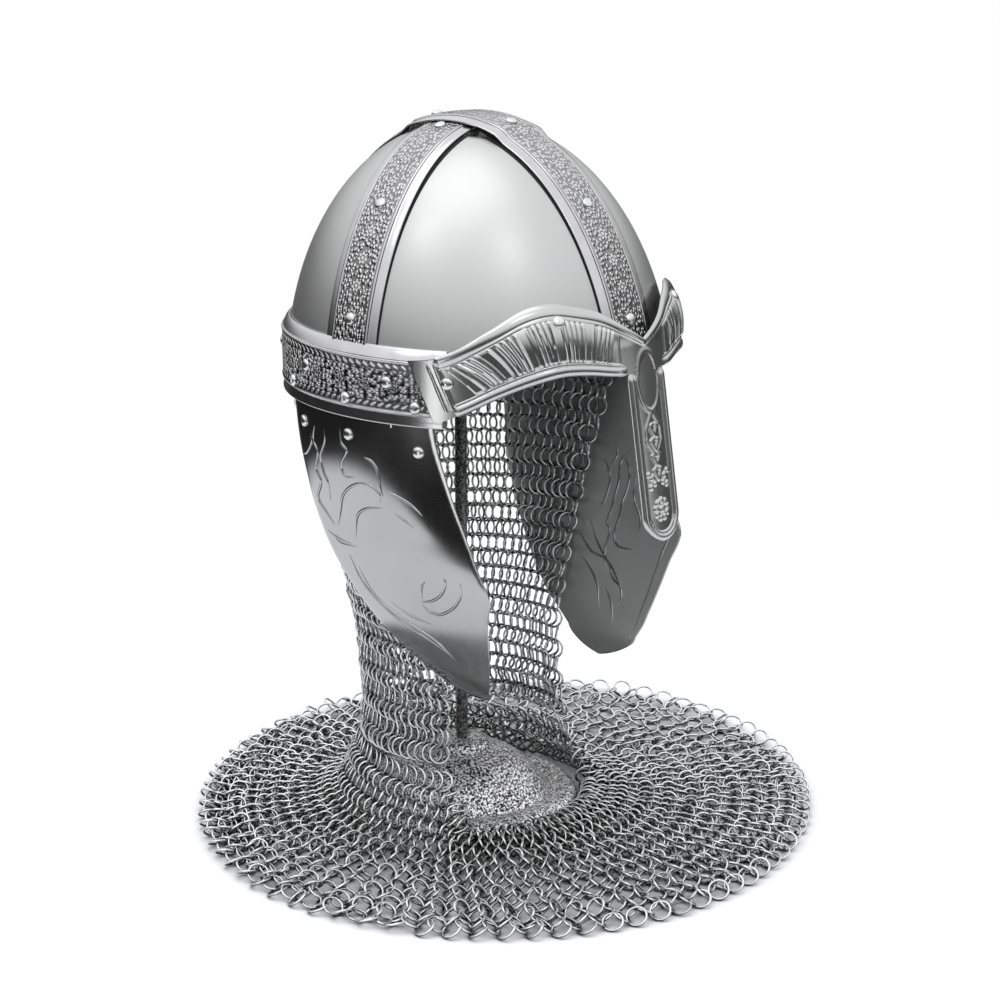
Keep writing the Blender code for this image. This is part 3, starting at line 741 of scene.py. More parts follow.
def strip_profile():
    """Shares across a strip and the extra height at each, from one edge to the other."""
    rail, bevel = STRIP_RAIL, STRIP_BEVEL
    half = ((1, -0.0002), (0.97, 0), (rail + bevel + 0.04, 0), (rail + bevel, 0.0001),
            (rail + 0.6 * bevel, 0.0003), (rail + 0.25 * bevel, 0.0009), (rail, 0.0010),
            (rail - 0.05, 0.0007), (0.3, 0.0007), (0, 0.0007))
    return [(s, h) for s, h in half] + [(-s, h) for s, h in half[-2::-1]]


def detailed_strip(name, lengthwise, mat):
    profile = strip_profile()
    if not lengthwise:
        profile = profile[::-1]
    rows, uvs = [], []
    run, last = 0.0, None
    for s, z in strip_line(STRIP_ROWS):
        middle = strip_point(lengthwise, 0, s, z, lengthwise)
        run += (middle - last).length if last else 0
        last = middle
        foot = on_dome(middle - Vector((0, RING_Y, DOME_FOOT)), 0)
        outward = on_dome_normal(foot)
        row = []
        for share, height in profile:
            point = strip_point(lengthwise, share, s, z, lengthwise)
            base = strip_lift(share, s, False) - GAP
            row.append(point + outward * (height - base))
        rows.append(row)
        uvs.append([(share * STRIP_WIDTH / 2, run) for share, _ in profile])
    mesh = grid_mesh(name, (rows, uvs, False))
    made = piece("embossed_" + name, mesh, (mat,), (name,))
    give_wall(made, STRIP_WALL, 1)


# Brow

def detailed_band(mat):
    flange, foot = BAND_FLANGE, BAND_HEIGHT - BAND_FLANGE
    profile = ((0.0001, -0.0038), (0.0010, -0.0029), (0.0028, -0.0016),
               (flange - 0.0006, -0.2 * BAND_LEAN), (flange, 0.0), (flange + 0.0004, 0.0009),
               (flange + 0.0012, 0.0009), (flange + 0.0018, 0.0005), (0.5 * BAND_HEIGHT, 0.0007),
               (foot - 0.0018, 0.0005), (foot - 0.0012, 0.0009), (foot - 0.0004, 0.0009),
               (foot, 0.0), (foot + 0.0006, -0.0001), (BAND_HEIGHT - 0.003, 0),
               (BAND_HEIGHT - 0.0008, 0.0004), (BAND_HEIGHT, 0.0002))
    turns = np.linspace(BAND_FRONT, 2 * pi - BAND_FRONT, 201)
    rows, uvs = [], []
    for drop, relief in profile:
        rows.append([oval(t, relief, BAND_HIGH - drop) for t in turns])
        uvs.append([(BAND_HEIGHT / 2 - drop, t * HALF_WIDTH * 1.06) for t in turns])
    mesh = grid_mesh("brow_band", (rows, uvs, False))
    made = piece("embossed_brow_band", mesh, (mat,), ("brow_band",))
    give_wall(made, BAND_WALL, -1)


def bell(distance, width):
    """Round ridge of a width about zero distance, 0 to 1 high."""
    return sqrt(max(1 - (distance / width) ** 2, 0))


def flute(share):
    """Height of the fanned bars and ribs at a share of the half span, 0 to 1."""
    start, stop, periods = PLAIN_SHARE, 0.83, 5.3
    place = (abs(share) - start) / (stop - start)
    if not 0 < place < 1:
        return 0
    t = place * periods % 1
    bar = 0.75 * ease((0.19 - abs(t - 0.22)) / 0.035)
    edges = 0.35 * max(bell(t - 0.06, 0.03), bell(t - 0.38, 0.03))
    ribs = max(bell(t - c, 0.038) for c in (0.53, 0.69, 0.85))
    return max(bar + edges, ribs)


def fan(column, down):
    """Share of the half span where a column that fans about the eye lies at a height."""
    place = abs(column)
    lean = (place + 0.189 * (down - 0.5)) / (1 + 0.45 * (down - 0.5)) - place
    lean *= ease((place - 0.12) / 0.14) * ease((0.95 - place) / 0.20)
    return (place + lean) * (1 if column > 0 else -1)


def brow_relief(share, down, column):
    """Relief of the brow over its plain sheet, in metres."""
    upper = 0.8 * ease(down / 0.03) * (1 - ease((down - 0.115) / 0.03))
    bead = 0.7 * bell(down - 0.175, 0.018)
    roll = 1.5 * bell(down - 0.94, 0.06)
    low_line = 0.5 * bell(down - 0.845, 0.016)
    field = ease((down - 0.20) / 0.03) * ease((0.815 - down) / 0.03)
    height = max(upper, bead, roll, low_line, 1.2 * flute(column) * field)
    panel = ease((0.9 - abs(share)) / 0.012)
    ends = 0.6 * max(bell(abs(share) - 0.905, 0.006), bell(abs(share) - 0.93, 0.005))
    ends *= ease((down - 0.10) / 0.04) * ease((0.90 - down) / 0.03)
    height = max(height * panel, ends, (1 - panel) * 0.35)
    return BROW_RELIEF * height


def dot(x, z, cx, cz, radius):
    gap = sqrt((x - cx) ** 2 + (z - cz) ** 2)
    return bell(gap, radius) if gap < radius else 0


def line_at(x, z, points, width):
    """Ridge along a polyline on the nasal."""
    best = 0
    for (x0, z0), (x1, z1) in zip(points, points[1:]):
        dx, dz = x1 - x0, z1 - z0
        t = clamp(((x - x0) * dx + (z - z0) * dz) / (dx * dx + dz * dz))
        gap = sqrt((x - x0 - t * dx) ** 2 + (z - z0 - t * dz) ** 2)
        if gap < width:
            best = max(best, bell(gap, width))
    return best


def nasal_relief(x, z, edge):
    """Relief of the nasal at a place across it and a height, edge being the way to its rim."""
    height = 1.5 * bell(edge - 0.0013, 0.0013)
    height = max(height, 0.85 * bell(edge - 0.0035, 0.0006))
    if edge < 0.0043:
        return BROW_RELIEF * height
    x = abs(x)
    oval_gap = sqrt((x / 0.0088) ** 2 + ((z - 0.279) / 0.0165) ** 2)
    height = max(height, 0.55 * bell((oval_gap - 1) * 0.0088, 0.0007))
    stalk = ((0.0, 0.262), (0.0058, 0.2535), (0.0066, 0.246), (0.0, 0.238))
    height = max(height, 0.6 * line_at(x, z, stalk, 0.0008))
    for top in (0.254, 0.246, 0.238, 0.230):
        leaf = ((0.0, top - 0.005), (0.0032, top), (0.0014, top + 0.001))
        height = max(height, 0.75 * line_at(x, z, leaf, 0.0009))
    for cx, cz, radius in ((0.0052, 0.2265, 0.0017), (0.0078, 0.2285, 0.0013),
                           (0.0068, 0.2215, 0.0015), (0.0035, 0.223, 0.0012)):
        height = max(height, dot(x, z, cx, cz, radius))
    for k in range(9):
        turn = 2 * pi * k / 9
        height = max(height, 1.1 * dot(x, z, abs(0.0047 * sin(turn)), 0.2085 + 0.0047 * cos(turn),
                                       0.0017))
    return BROW_RELIEF * max(height, 1.2 * dot(x, z, 0, 0.2085, 0.0021))


# Rows of the brow's mesh as shares of the way down, close together where a line runs
BROW_DOWNS = (0, 0.015, 0.03, 0.06, 0.115, 0.13, 0.145, 0.157, 0.166, 0.175, 0.184, 0.193, 0.205,
              0.218, 0.23, 0.28, 0.34, 0.40, 0.46, 0.52, 0.58, 0.64, 0.70, 0.75, 0.785, 0.80,
              0.815, 0.829, 0.837, 0.845, 0.853, 0.861, 0.88, 0.886, 0.90, 0.92, 0.94, 0.96,
              0.98, 0.994, 1.0)


def detailed_brow(mat):
    """Arches in one grid and the nasal's tail in another, joined along their shared edge."""
    root = nasal_angle(NASAL_WIDTH / 2) / (BROW_SPAN - BROW_SLANT)
    steps = range(-NASAL_STEPS, NASAL_STEPS + 1)
    outer = [root + (1 - root) * k / BROW_STEPS for k in range(1, BROW_STEPS + 1)]
    shares = [-s for s in outer[::-1]] + [root * k / NASAL_STEPS for k in steps] + outer
    rows, uvs = [], []
    for down in BROW_DOWNS:
        row = []
        for column in shares:
            share = fan(column, down)
            upper, lower = brow_edges(share)
            side = ease((abs(share) - root) / (0.5 * root))
            relief = brow_relief(share, down, column)
            z = upper + (lower - upper) * down
            if side < 1:
                x = HALF_WIDTH * sin(share * BROW_SPAN)
                plain = brow_relief(PLAIN_SHARE, min(down, 0.79), PLAIN_SHARE)
                plain = max(plain, nasal_relief(x, z, 0.009))
                relief = plain * (1 - side) + relief * side
            row.append(brow_surface(share * (BROW_SPAN - BROW_SLANT * down), z, relief))
        rows.append(row)
        uvs.append([(share * 0.12, down * 0.04) for share in shares])
    middle = slice(BROW_STEPS, BROW_STEPS + len(steps))
    tail_rows, tail_uvs = [rows[-1][middle]], [uvs[-1][middle]]
    radius = NASAL_WIDTH / 2
    for k in range(1, NASAL_ROWS + 1):
        depth = NASAL_LENGTH * (1 - (1 - k / NASAL_ROWS) ** 1.3)
        end = clamp((depth - NASAL_LENGTH + radius) / radius, 0, 0.995)
        half = radius * sqrt(1 - end * end)
        z = brow_edges(0)[1] - depth
        row = []
        for j in steps:
            x = half * j / NASAL_STEPS
            centre_gap = sqrt(x * x + max(depth - NASAL_LENGTH + radius, 0) ** 2)
            edge = min(radius - centre_gap, radius - abs(x)) if end > 0 else half - abs(x)
            relief = nasal_relief(x, z, max(edge, 0)) * ease(depth / 0.004)
            row.append(brow_surface(nasal_angle(x), z, relief))
        tail_rows.append(row)
        tail_uvs.append([(j * 0.0007, -depth) for j in steps])
    mesh = grid_mesh("brow", (rows, uvs, False), (tail_rows, tail_uvs, False))
    made = piece("pressed_brow_nasal", mesh, (mat,), ("brow_nasal",))
    weld = made.modifiers.new("join", "WELD")
    weld.merge_threshold = 0.00001
    give_wall(made, BROW_WALL, 1)


# Cheek plates

# Interlace on the plates' outer and inner faces: points of each line, read off the enlarged
# photograph, in pixels of its 1000 by 1000 frame
OUTER_LINES = (
    ((317.9, 425.2), (316.4, 438.3), (320.8, 452.8), (317.9, 467.5), (323.7, 482.0),
     (319.4, 496.6), (326.6, 511.2), (333.9, 524.2)),
    ((326.6, 428.1), (328.1, 442.6), (323.1, 455.8), (326.6, 470.4), (330.1, 482.0),
     (332.5, 499.6)),
    ((313.5, 432.5), (314.4, 442.7), (309.2, 451.4), (303.9, 452.9)),
    ((342.7, 428.1), (344.7, 441.2), (350.0, 450.0), (345.6, 460.2), (344.7, 468.9),
     (350.0, 476.2), (357.3, 475.6)),
    ((367.5, 456.4), (374.8, 460.2), (380.6, 470.4), (383.5, 487.9), (386.4, 496.6)),
    ((338.3, 525.8), (341.2, 508.3), (345.6, 495.2), (352.9, 486.4), (364.5, 482.6),
     (376.2, 486.4), (382.0, 493.7), (382.0, 502.4)),
    ((389.3, 490.2), (399.5, 496.6), (411.2, 505.4), (422.9, 515.6)),
    ((356.4, 537.4), (355.8, 522.9), (360.2, 512.7), (370.4, 507.7), (383.5, 507.7)),
    ((396.6, 513.5), (405.4, 519.4), (414.1, 527.2)),
    ((328.1, 530.1), (338.3, 537.4), (351.4, 543.8)),
    ((335.4, 537.4), (342.7, 543.3), (355.8, 546.2)),
    ((422.0, 601.6), (431.6, 600.7), (440.3, 594.3), (444.7, 582.6), (443.3, 578.3)),
    ((422.3, 604.5), (428.7, 610.3), (440.3, 614.7), (452.0, 608.9), (458.4, 597.2),
     (460.2, 584.1)),
    ((421.4, 598.7), (420.8, 588.5), (424.3, 581.2)),
    ((358.7, 566.6), (376.2, 595.8), (396.6, 613.2), (417.0, 627.8), (437.4, 642.4),
     (454.9, 659.9)),
    ((350.0, 554.9), (363.1, 581.2), (382.0, 604.5), (405.4, 624.9), (428.7, 639.5),
     (452.0, 656.9)),
    ((390.8, 601.6), (411.2, 616.1), (431.6, 624.3)),
)
INNER_LINES = (
    ((605.5, 459.1), (610.9, 473.6), (610.2, 488.2), (603.6, 502.7), (600.0, 504.5)),
    ((632.7, 448.2), (621.8, 462.7), (620.0, 480.9), (614.5, 502.7), (607.3, 520.9),
     (610.9, 531.8), (605.5, 553.6), (607.3, 571.8)),
    ((625.5, 455.5), (630.9, 470.0), (629.1, 488.2), (621.8, 506.4), (614.5, 531.8),
     (618.2, 546.4), (632.7, 550.0)),
    ((581.8, 531.8), (592.7, 550.0), (607.3, 560.9), (620.0, 582.7), (622.5, 597.3),
     (618.2, 606.4)),
    ((589.1, 517.3), (600.0, 542.7), (610.9, 564.5), (614.5, 579.1), (623.6, 590.0)),
    ((583.6, 557.3), (594.5, 575.5), (600.0, 590.0), (599.3, 608.2)),
    ((607.3, 590.0), (612.7, 604.5), (612.7, 622.7)),
    ((638.2, 473.6), (634.5, 495.5), (640.7, 517.3), (637.1, 535.5)),
    ((614.5, 440.9), (618.2, 455.5), (607.3, 473.6)),
)
GRID_DOWN = np.linspace(0.05, 1, 240)
GRID_ACROSS = np.linspace(0, 1, 160)


def photo_places(side):
    """Where the photograph shows each place of a grid over a cheek plate, in pixels.

    The plate's sections are joined by straight lines here, which is near enough for its lines.
    """
    down, across = np.meshgrid(GRID_DOWN, GRID_ACROSS, indexing="ij")
    shares = [row[0] for row in CHEEK_SECTIONS]
    rear, front, rear_x, front_x, bulge = (
        np.interp(down, shares, [row[k] for row in CHEEK_SECTIONS]) for k in range(1, 6))
    bow = 4 * across * (1 - across)
    wide, deep = HALF_WIDTH - BAND_WALL - GAP, HALF_DEPTH - BAND_WALL - GAP
    x = side * wide * (rear_x + (front_x - rear_x) * across + bulge * bow)
    y = RING_Y + deep * (rear + (front - rear) * across)
    z = BAND_LOW + CHEEK_TUCK - (CHEEK_DROP + CHEEK_TUCK) * down
    right, back, place = camera_stance()
    seen = np.stack([x, y, z], axis=-1) - np.array(place)
    focus = CAMERA_LENS / CAMERA_SENSOR * PHOTO_SIZE / -(seen @ np.array(back))
    pixel_x = PHOTO_SIZE / 2 + focus * (seen @ np.array(right))
    pixel_y = PHOTO_SIZE / 2 - focus * (seen @ np.array(back.cross(right)))
    return pixel_x, pixel_y


def plate_lines(side, lines):
    """Lines as (across, down) shares of a plate, from their points on the photograph, rounded."""
    seen_x, seen_y = photo_places(side)
    found = []
    for line in lines:
        shares = []
        for x, y in line:
            nearest_place = np.argmin((seen_x - x) ** 2 + (seen_y - y) ** 2)
            row, column = np.unravel_index(nearest_place, seen_x.shape)
            shares.append((round(GRID_ACROSS[column], 2), round(GRID_DOWN[row], 3)))
        found.append(tuple(shares))
    return found


def plate_point(side, across, down):
    """Outer face of a cheek plate, with a round tip and an even bend below the band."""
    if down > 0.94:
        here, start = (smooth(CHEEK_SECTIONS, d, 1) - smooth(CHEEK_SECTIONS, d, 2)
                       for d in (down, 0.94))
        wanted = start * max(1 - ((down - 0.94) / 0.06) ** 1.6, 0.02) ** 0.7
        across = 0.5 + (across - 0.5) * wanted / here
    point = cheek_point(side, across, down)
    if down < 0.45:
        low = cheek_point(side, across, 0.45)
        top = cheek_point(side, across, 0.0)
        bend = 2.6 - 2.0 * ease((across - 0.5) / 0.5)
        even = abs(top.x) + (abs(low.x) - abs(top.x)) * (down / 0.45) ** bend
        point.x = side * even
    return point


def cheek_normal(side, across, down):
    across, down = clamp(across, 0.02, 0.98), clamp(down, 0.02, 0.97)
    return surface_frame(lambda u, v: plate_point(side, u, v), across, down)[1]


def smooth_line(points, count):
    """Catmull-Rom curve through the points."""
    fine = []
    for k in range(len(points) - 1):
        p0, p1, p2, p3 = (Vector(points[min(max(k + j, 0), len(points) - 1)])
                          for j in (-1, 0, 1, 2))
        for step in range(count):
            t = step / count
            fine.append(0.5 * (2 * p1 + (p2 - p0) * t + (2 * p0 - 5 * p1 + 4 * p2 - p3) * t * t
                               + (3 * p1 - p0 - 3 * p2 + p3) * t ** 3))
    return fine + [Vector(points[-1])]


def raised_line(side, points, width, face):
    """Grid of a low round ridge along a line on a plate; face is 1 outside, -1 inside."""
    rows = []
    fine = smooth_line(points, 6)
    for k, (across, down) in enumerate(fine):
        centre = plate_point(side, across, down)
        ahead = fine[min(k + 1, len(fine) - 1)]
        behind = fine[max(k - 1, 0)]
        along = (plate_point(side, *ahead) - plate_point(side, *behind)).normalized()
        normal = cheek_normal(side, across, down) * face
        if face < 0:
            centre = centre + normal * CHEEK_WALL
        sideways = along.cross(normal)
        taper = min(k, len(fine) - 1 - k, 6) / 6
        half = width * (0.25 + 0.75 * taper)
        rows.append([centre + sideways * (half * cos(t)) + normal * (0.75 * half * sin(t))
                     for t in np.linspace(-0.25, pi + 0.25, 7)])
    return rows, None, False


def detailed_cheek(name, side, mat, inner_mat):
    downs = np.concatenate([np.linspace(0, 0.5, 28), np.linspace(0.5, 0.62, 18)[1:],
                            np.linspace(0.62, 0.94, 24)[1:],
                            1 - 0.06 * np.linspace(1, 0, 20)[1:] ** 2])
    shares = np.linspace(0, 1, 34)
    if side > 0:
        shares = shares[::-1]
    rows = [[plate_point(side, a, d) for a in shares] for d in downs]
    mesh = grid_mesh(name, (rows, None, False))
    made = piece("pressed_" + name, mesh, (mat, inner_mat), (name,))
    give_wall(made, CHEEK_WALL, -1, 1)
    rim = ([(0.94, d) for d in np.linspace(0.16, 0.575, 14)]
           + [(0.935, 0.60)] + [(0.93, d) for d in np.linspace(0.63, 0.95, 9)])
    grids = [raised_line(side, line, 0.0009, 1) for line in plate_lines(-1, OUTER_LINES)]
    grids += [raised_line(side, line, 0.0008, -1)
              for line in plate_lines(1, INNER_LINES) + [tuple(rim)]]
    piece("interlace_" + name, grid_mesh("interlace", *grids), (mat,), (name,))


# Mail

def hang(column, down):
    """Middle of the curtain's wall at a column and a share of its drop."""
    wide, deep, centre, opening = mail_section(down)
    inset = MAIL_WALL * 0.8
    turn = opening + (2 * pi - 2 * opening) * column / CURTAIN_COLUMNS
    top = BAND_LOW + MAIL_TUCK
    z = top + (MAIL_FOOT - top) * down
    return Vector(((wide - inset) * sin(turn), centre - (deep - inset) * cos(turn), z))


def spread(column, share):
    """Middle of the mantle at a column and a share of the way from the neck to the rim."""
    opening = mail_section(1)[3]
    if column <= CURTAIN_COLUMNS:
        turn = opening + (2 * pi - 2 * opening) * column / CURTAIN_COLUMNS
    else:
        turn = 2 * pi - opening + 2 * opening * (column - CURTAIN_COLUMNS) / FRONT_COLUMNS
    neck, rim = mantle_neck(turn), mantle_rim(turn)
    if column <= CURTAIN_COLUMNS:
        hung = hang(column, 1)
        neck = Vector((hung.x, hung.y, MAIL_FOOT))
    inner, outer = neck.xy, rim.xy
    reach = (outer - inner).length - RING - WIRE
    run = reach * share
    flat = inner + (outer - inner).normalized() * run
    z = neck.z * np.exp(-run / LAID_FALL)
    fold = sin(2 * pi * run / FOLD_LENGTH + 1.5 * sin(2 * turn + 1) + 0.8 * sin(5 * turn))
    return Vector((flat.x, flat.y, z + LAID_LIFT + FOLD_HEIGHT * fold * clamp(run / 0.02)))


def ring_pitch(pitch, lean):
    """Row pitch at which rings that lean to the side just hang in each other."""
    spread_share = min(pitch / (4 * (RING * cos(lean) - WIRE)), 0.92)
    return 2 * sqrt(1 - spread_share ** 2) * (RING - WIRE)


def mean_gap(first, second):
    return float(np.mean([(a - b).length for a, b in zip(first, second)]))


def step_rows(surface, columns, start, end_at, lean):
    """Places down a surface whose rows lie one ring pitch apart."""
    places = [start]
    while True:
        here = [surface(c, places[-1]) for c in columns]
        wanted = ring_pitch(mean_gap(here, here[1:]) / (columns[1] - columns[0]), lean)
        low, high = places[-1], places[-1] + 0.4
        for _ in range(18):
            middle = (low + high) / 2
            gap = mean_gap(here, [surface(c, middle) for c in columns])
            low, high = (middle, high) if gap < wanted else (low, middle)
        if low > end_at:
            return places
        places.append(low)


def mail_rows():
    """Rows of ring centres from the band to the rim: column places and points."""
    sample = [float(c) for c in range(0, CURTAIN_COLUMNS + 1, 3)]
    downs = step_rows(hang, sample, HUNG_START, 1.0, HUNG_LEAN)
    stretch = (1.0 - downs[0]) / (downs[-1] - downs[0])
    downs = [downs[0] + (d - downs[0]) * stretch * HUNG_REACH for d in downs]
    around = CURTAIN_COLUMNS + FRONT_COLUMNS
    whole = [float(c) for c in range(0, around, 3)]
    shares = step_rows(spread, whole, LAID_START, 1.0, LAID_LEAN)
    index = np.linspace(0, len(shares) - 1, LAID_ROWS)
    shares = np.interp(index, range(len(shares)), shares)
    stretch = (1 - LAID_START) / (shares[-1] - LAID_START)
    shares = [LAID_START + (s - LAID_START) * stretch for s in shares]
    rows = []
    for k, down in enumerate(downs):
        odd = k % 2
        columns = [c + 0.5 * odd for c in range(CURTAIN_COLUMNS + 1 - odd)]
        rows.append((columns, [hang(c, down) for c in columns], False))
    for k, share in enumerate(shares):
        odd = (k + len(downs)) % 2
        columns = [c + 0.5 * odd for c in range(around)]
        rows.append((columns, [spread(c, share) for c in columns], True))
    return rows, len(downs)


def ring_frames(rows, split):
    """Centre, two axes in the ring's plane and a shade for every ring."""
    chance = np.random.default_rng(11)
    up = Vector((0, 0, 1))
    rings = []
    for k, (columns, points, closed) in enumerate(rows):
        count = len(points)
        for c, point in enumerate(points):
            left = points[(c + 1) % count] if closed or c + 1 < count else point
            right = points[c - 1] if closed or c > 0 else point
            across = left - right
            pitch = across.length / (2 if left is not point and right is not point else 1)
            across.normalize()
            below = nearest(rows, k + 1, columns[c])
            above = nearest(rows, k - 1, columns[c])
            if below is None and above is None:
                continue
            if above is None:
                above = point + (point - below)
            if below is None:
                below = point + (point - above)
            drop = (below - above) / 2
            fall = drop - across * drop.dot(across)
            height = fall.length
            fall.normalize()
            normal = across.cross(fall)
            reach = clamp(height / (2 * (RING - WIRE)), 0.25, 0.993)
            part = (pitch / (4 * sqrt(1 - reach * reach)) + WIRE) / RING
            lean = acos(clamp(part, 0.30, cos(HUNG_LEAN)))
            edge = k < split and c in (0, count - 1)
            lean = EDGE_LEAN if edge and k % 2 == 0 else lean
            lean += radians(float(chance.normal(0, 5)))
            sign = -1 if k % 2 == 0 else 1
            a = across * cos(lean) + normal * (sign * sin(lean))
            tilt = radians(float(chance.normal(0, 9 if k >= split else 5)))
            b = fall * cos(tilt) + normal * sin(tilt)
            b = (b - a * a.dot(b)).normalized()
            centre = point + across * float(chance.normal(0, 0.0003))
            low = centre.z - RING * sqrt(a.z ** 2 + b.z ** 2) - WIRE
            centre = centre + up * max(0.0001 - low, 0)
            rings.append((centre, a, b, float(chance.random()), k, columns[c]))
    return rings


def nearest(rows, k, column):
    """Point of a row below or above at the same column, or None."""
    if not 0 <= k < len(rows):
        return None
    columns, points, closed = rows[k]
    if not closed and not columns[0] - 0.6 <= column <= columns[-1] + 0.6:
        return None
    place = column - columns[0]
    first = int(np.floor(place))
    share = place - first
    if closed:
        return points[first % len(points)].lerp(points[(first + 1) % len(points)], share)
    first = int(clamp(first, 0, len(points) - 2))
    return points[first].lerp(points[first + 1], place - first)


def ring_piece(name, rings, mat, nodes):
    """Joined mesh of many wire rings."""
    n = len(rings)
    centre, a, b = (np.array([ring[k][:] for ring in rings])[:, None, None, :] for k in range(3))
    axis = np.cross(a, b)
    turn = np.linspace(0, 2 * pi, RING_SIDES, endpoint=False)[None, :, None, None]
    wrap = np.linspace(0, 2 * pi, WIRE_SIDES, endpoint=False)[None, None, :, None]
    out = a * np.cos(turn) + b * np.sin(turn)
    points = centre + out * (RING + WIRE * np.cos(wrap)) + axis * (WIRE * np.sin(wrap))
    i = np.arange(RING_SIDES)[:, None]
    j = np.arange(WIRE_SIDES)[None, :]
    i2, j2 = (i + 1) % RING_SIDES, (j + 1) % WIRE_SIDES
    cell = np.stack([i * WIRE_SIDES + j, i2 * WIRE_SIDES + j, i2 * WIRE_SIDES + j2,
                     i * WIRE_SIDES + j2], axis=-1).reshape(-1, 4)
    faces = (cell[None] + (np.arange(n) * RING_SIDES * WIRE_SIDES)[:, None, None]).reshape(-1, 4)
    mesh = bpy.data.meshes.new(name)
    mesh.from_pydata(points.reshape(-1, 3), [], faces)
    shade = mesh.attributes.new("ring", "FLOAT", "POINT")
    values = np.repeat(np.array([ring[3] for ring in rings], dtype=np.float32),
                       RING_SIDES * WIRE_SIDES)
    shade.data.foreach_set("value", values)
    mesh.shade_smooth()
    piece(name, mesh, (mat,), nodes)


def build_mail(mat):
    rows, split = mail_rows()
    rings = ring_frames(rows, split)
    end, middle = CURTAIN_COLUMNS, CURTAIN_COLUMNS / 2
    groups = (
        ("mail_rings_hanging_right", lambda k, c: k < split and c > middle, "mail_curtain"),
        ("mail_rings_hanging_left", lambda k, c: k < split and c <= middle, "mail_curtain"),
        ("mail_rings_laid_right", lambda k, c: k >= split and middle < c <= end, "mail_mantle"),
        ("mail_rings_laid_front", lambda k, c: k >= split and c > end, "mail_mantle"),
        ("mail_rings_laid_left", lambda k, c: k >= split and c <= middle, "mail_mantle"),
    )
    for name, chosen, node_name in groups:
        ring_piece(name, [ring for ring in rings if chosen(ring[4], ring[5])], mat, (node_name,))


# Rivets

def rivet_place(seat, normal):
    return Matrix.Translation(seat) @ normal.to_track_quat("Z", "X").to_matrix().to_4x4()


def build_rivets(mat):
    """Domed heads on the strips, band, brow and plates, and eyelets along the band."""
    r, h = RIVET_RADIUS, RIVET_HEIGHT
    dome = [(0.0001, h)] + [(r * sin(t), h * cos(t) ** 0.8) for t in np.linspace(0.25, 1.5, 7)]
    dome += [(r, 0.0001), (0.98 * r, -0.0002)]
    eyelet = [(0.30 * r, -0.0002), (0.32 * r, 0.5 * h), (0.42 * r, 0.82 * h), (0.58 * r, 0.92 * h),
              (0.76 * r, 0.78 * h), (0.92 * r, 0.45 * h), (r, 0.0)]
    domes, eyelets, dome_nodes, eyelet_nodes = [], [], [], []
    leg = dome_rows(101, BAND_HIGH - STRIP_TUCK, 0)
    legs = (("front", True, -1), ("back", True, 1), ("right", False, -1), ("left", False, 1))
    for label, lengthwise, sign in legs:
        for k, share in enumerate(STRIP_RIVETS):
            scale, z = leg[round(100 * share)]
            seat = strip_point(lengthwise, 0, sign * scale, z, lengthwise)
            normal = on_dome_normal(on_dome(seat - Vector((0, RING_Y, DOME_FOOT)), 0))
            domes.append(rivet_place(seat + normal * STRIP_WALL, normal))
            dome_nodes.append(f"rivet_{label}_{k + 1}")
    for side, label in ((-1, "right"), (1, "left")):
        for k, degrees in enumerate(BAND_RIVET_ANGLES):
            angle = side * radians(degrees)
            seat = oval(angle, BAND_RELIEF, BAND_HIGH - BAND_HEIGHT * 0.45)
            domes.append(rivet_place(seat, oval_normal(angle)))
            dome_nodes.append(f"rivet_band_{label}_{k + 1}")
        for k, degrees in enumerate(CHEEK_RIVETS):
            angle = side * radians(degrees)
            seat = oval(angle, BAND_RELIEF, BAND_LOW + CHEEK_RIVET_RISE)
            eyelets.append(rivet_place(seat, oval_normal(angle)))
            eyelet_nodes.append(f"rivet_cheek_{label}_{k + 1}")
        for k, (across, down) in enumerate(CHEEK_PLATE_RIVETS):
            seat, normal = surface_frame(lambda u, v: plate_point(side, u, v), across, down)
            domes.append(rivet_place(seat, normal))
            domes.append(rivet_place(seat - normal * CHEEK_WALL, -normal))
            dome_nodes.append(f"rivet_plate_{label}_{k + 1}")
        for k, (share, down) in enumerate(BROW_RIVETS):
            relief = BROW_RELIEF * 0.6
            seat, normal = surface_frame(lambda u, v: brow_point(u, v, relief), side * share, down)
            domes.append(rivet_place(seat + normal * BROW_WALL, normal))
            dome_nodes.append(f"rivet_brow_{label}_{k + 1}")
    piece("rivet_heads", turned_mesh("rivet_heads", dome, 20, domes), (mat,),
          dome_nodes)
    piece("rivet_eyelets", turned_mesh("rivet_eyelets", eyelet, 20, eyelets), (mat,),
          eyelet_nodes)


# Stand

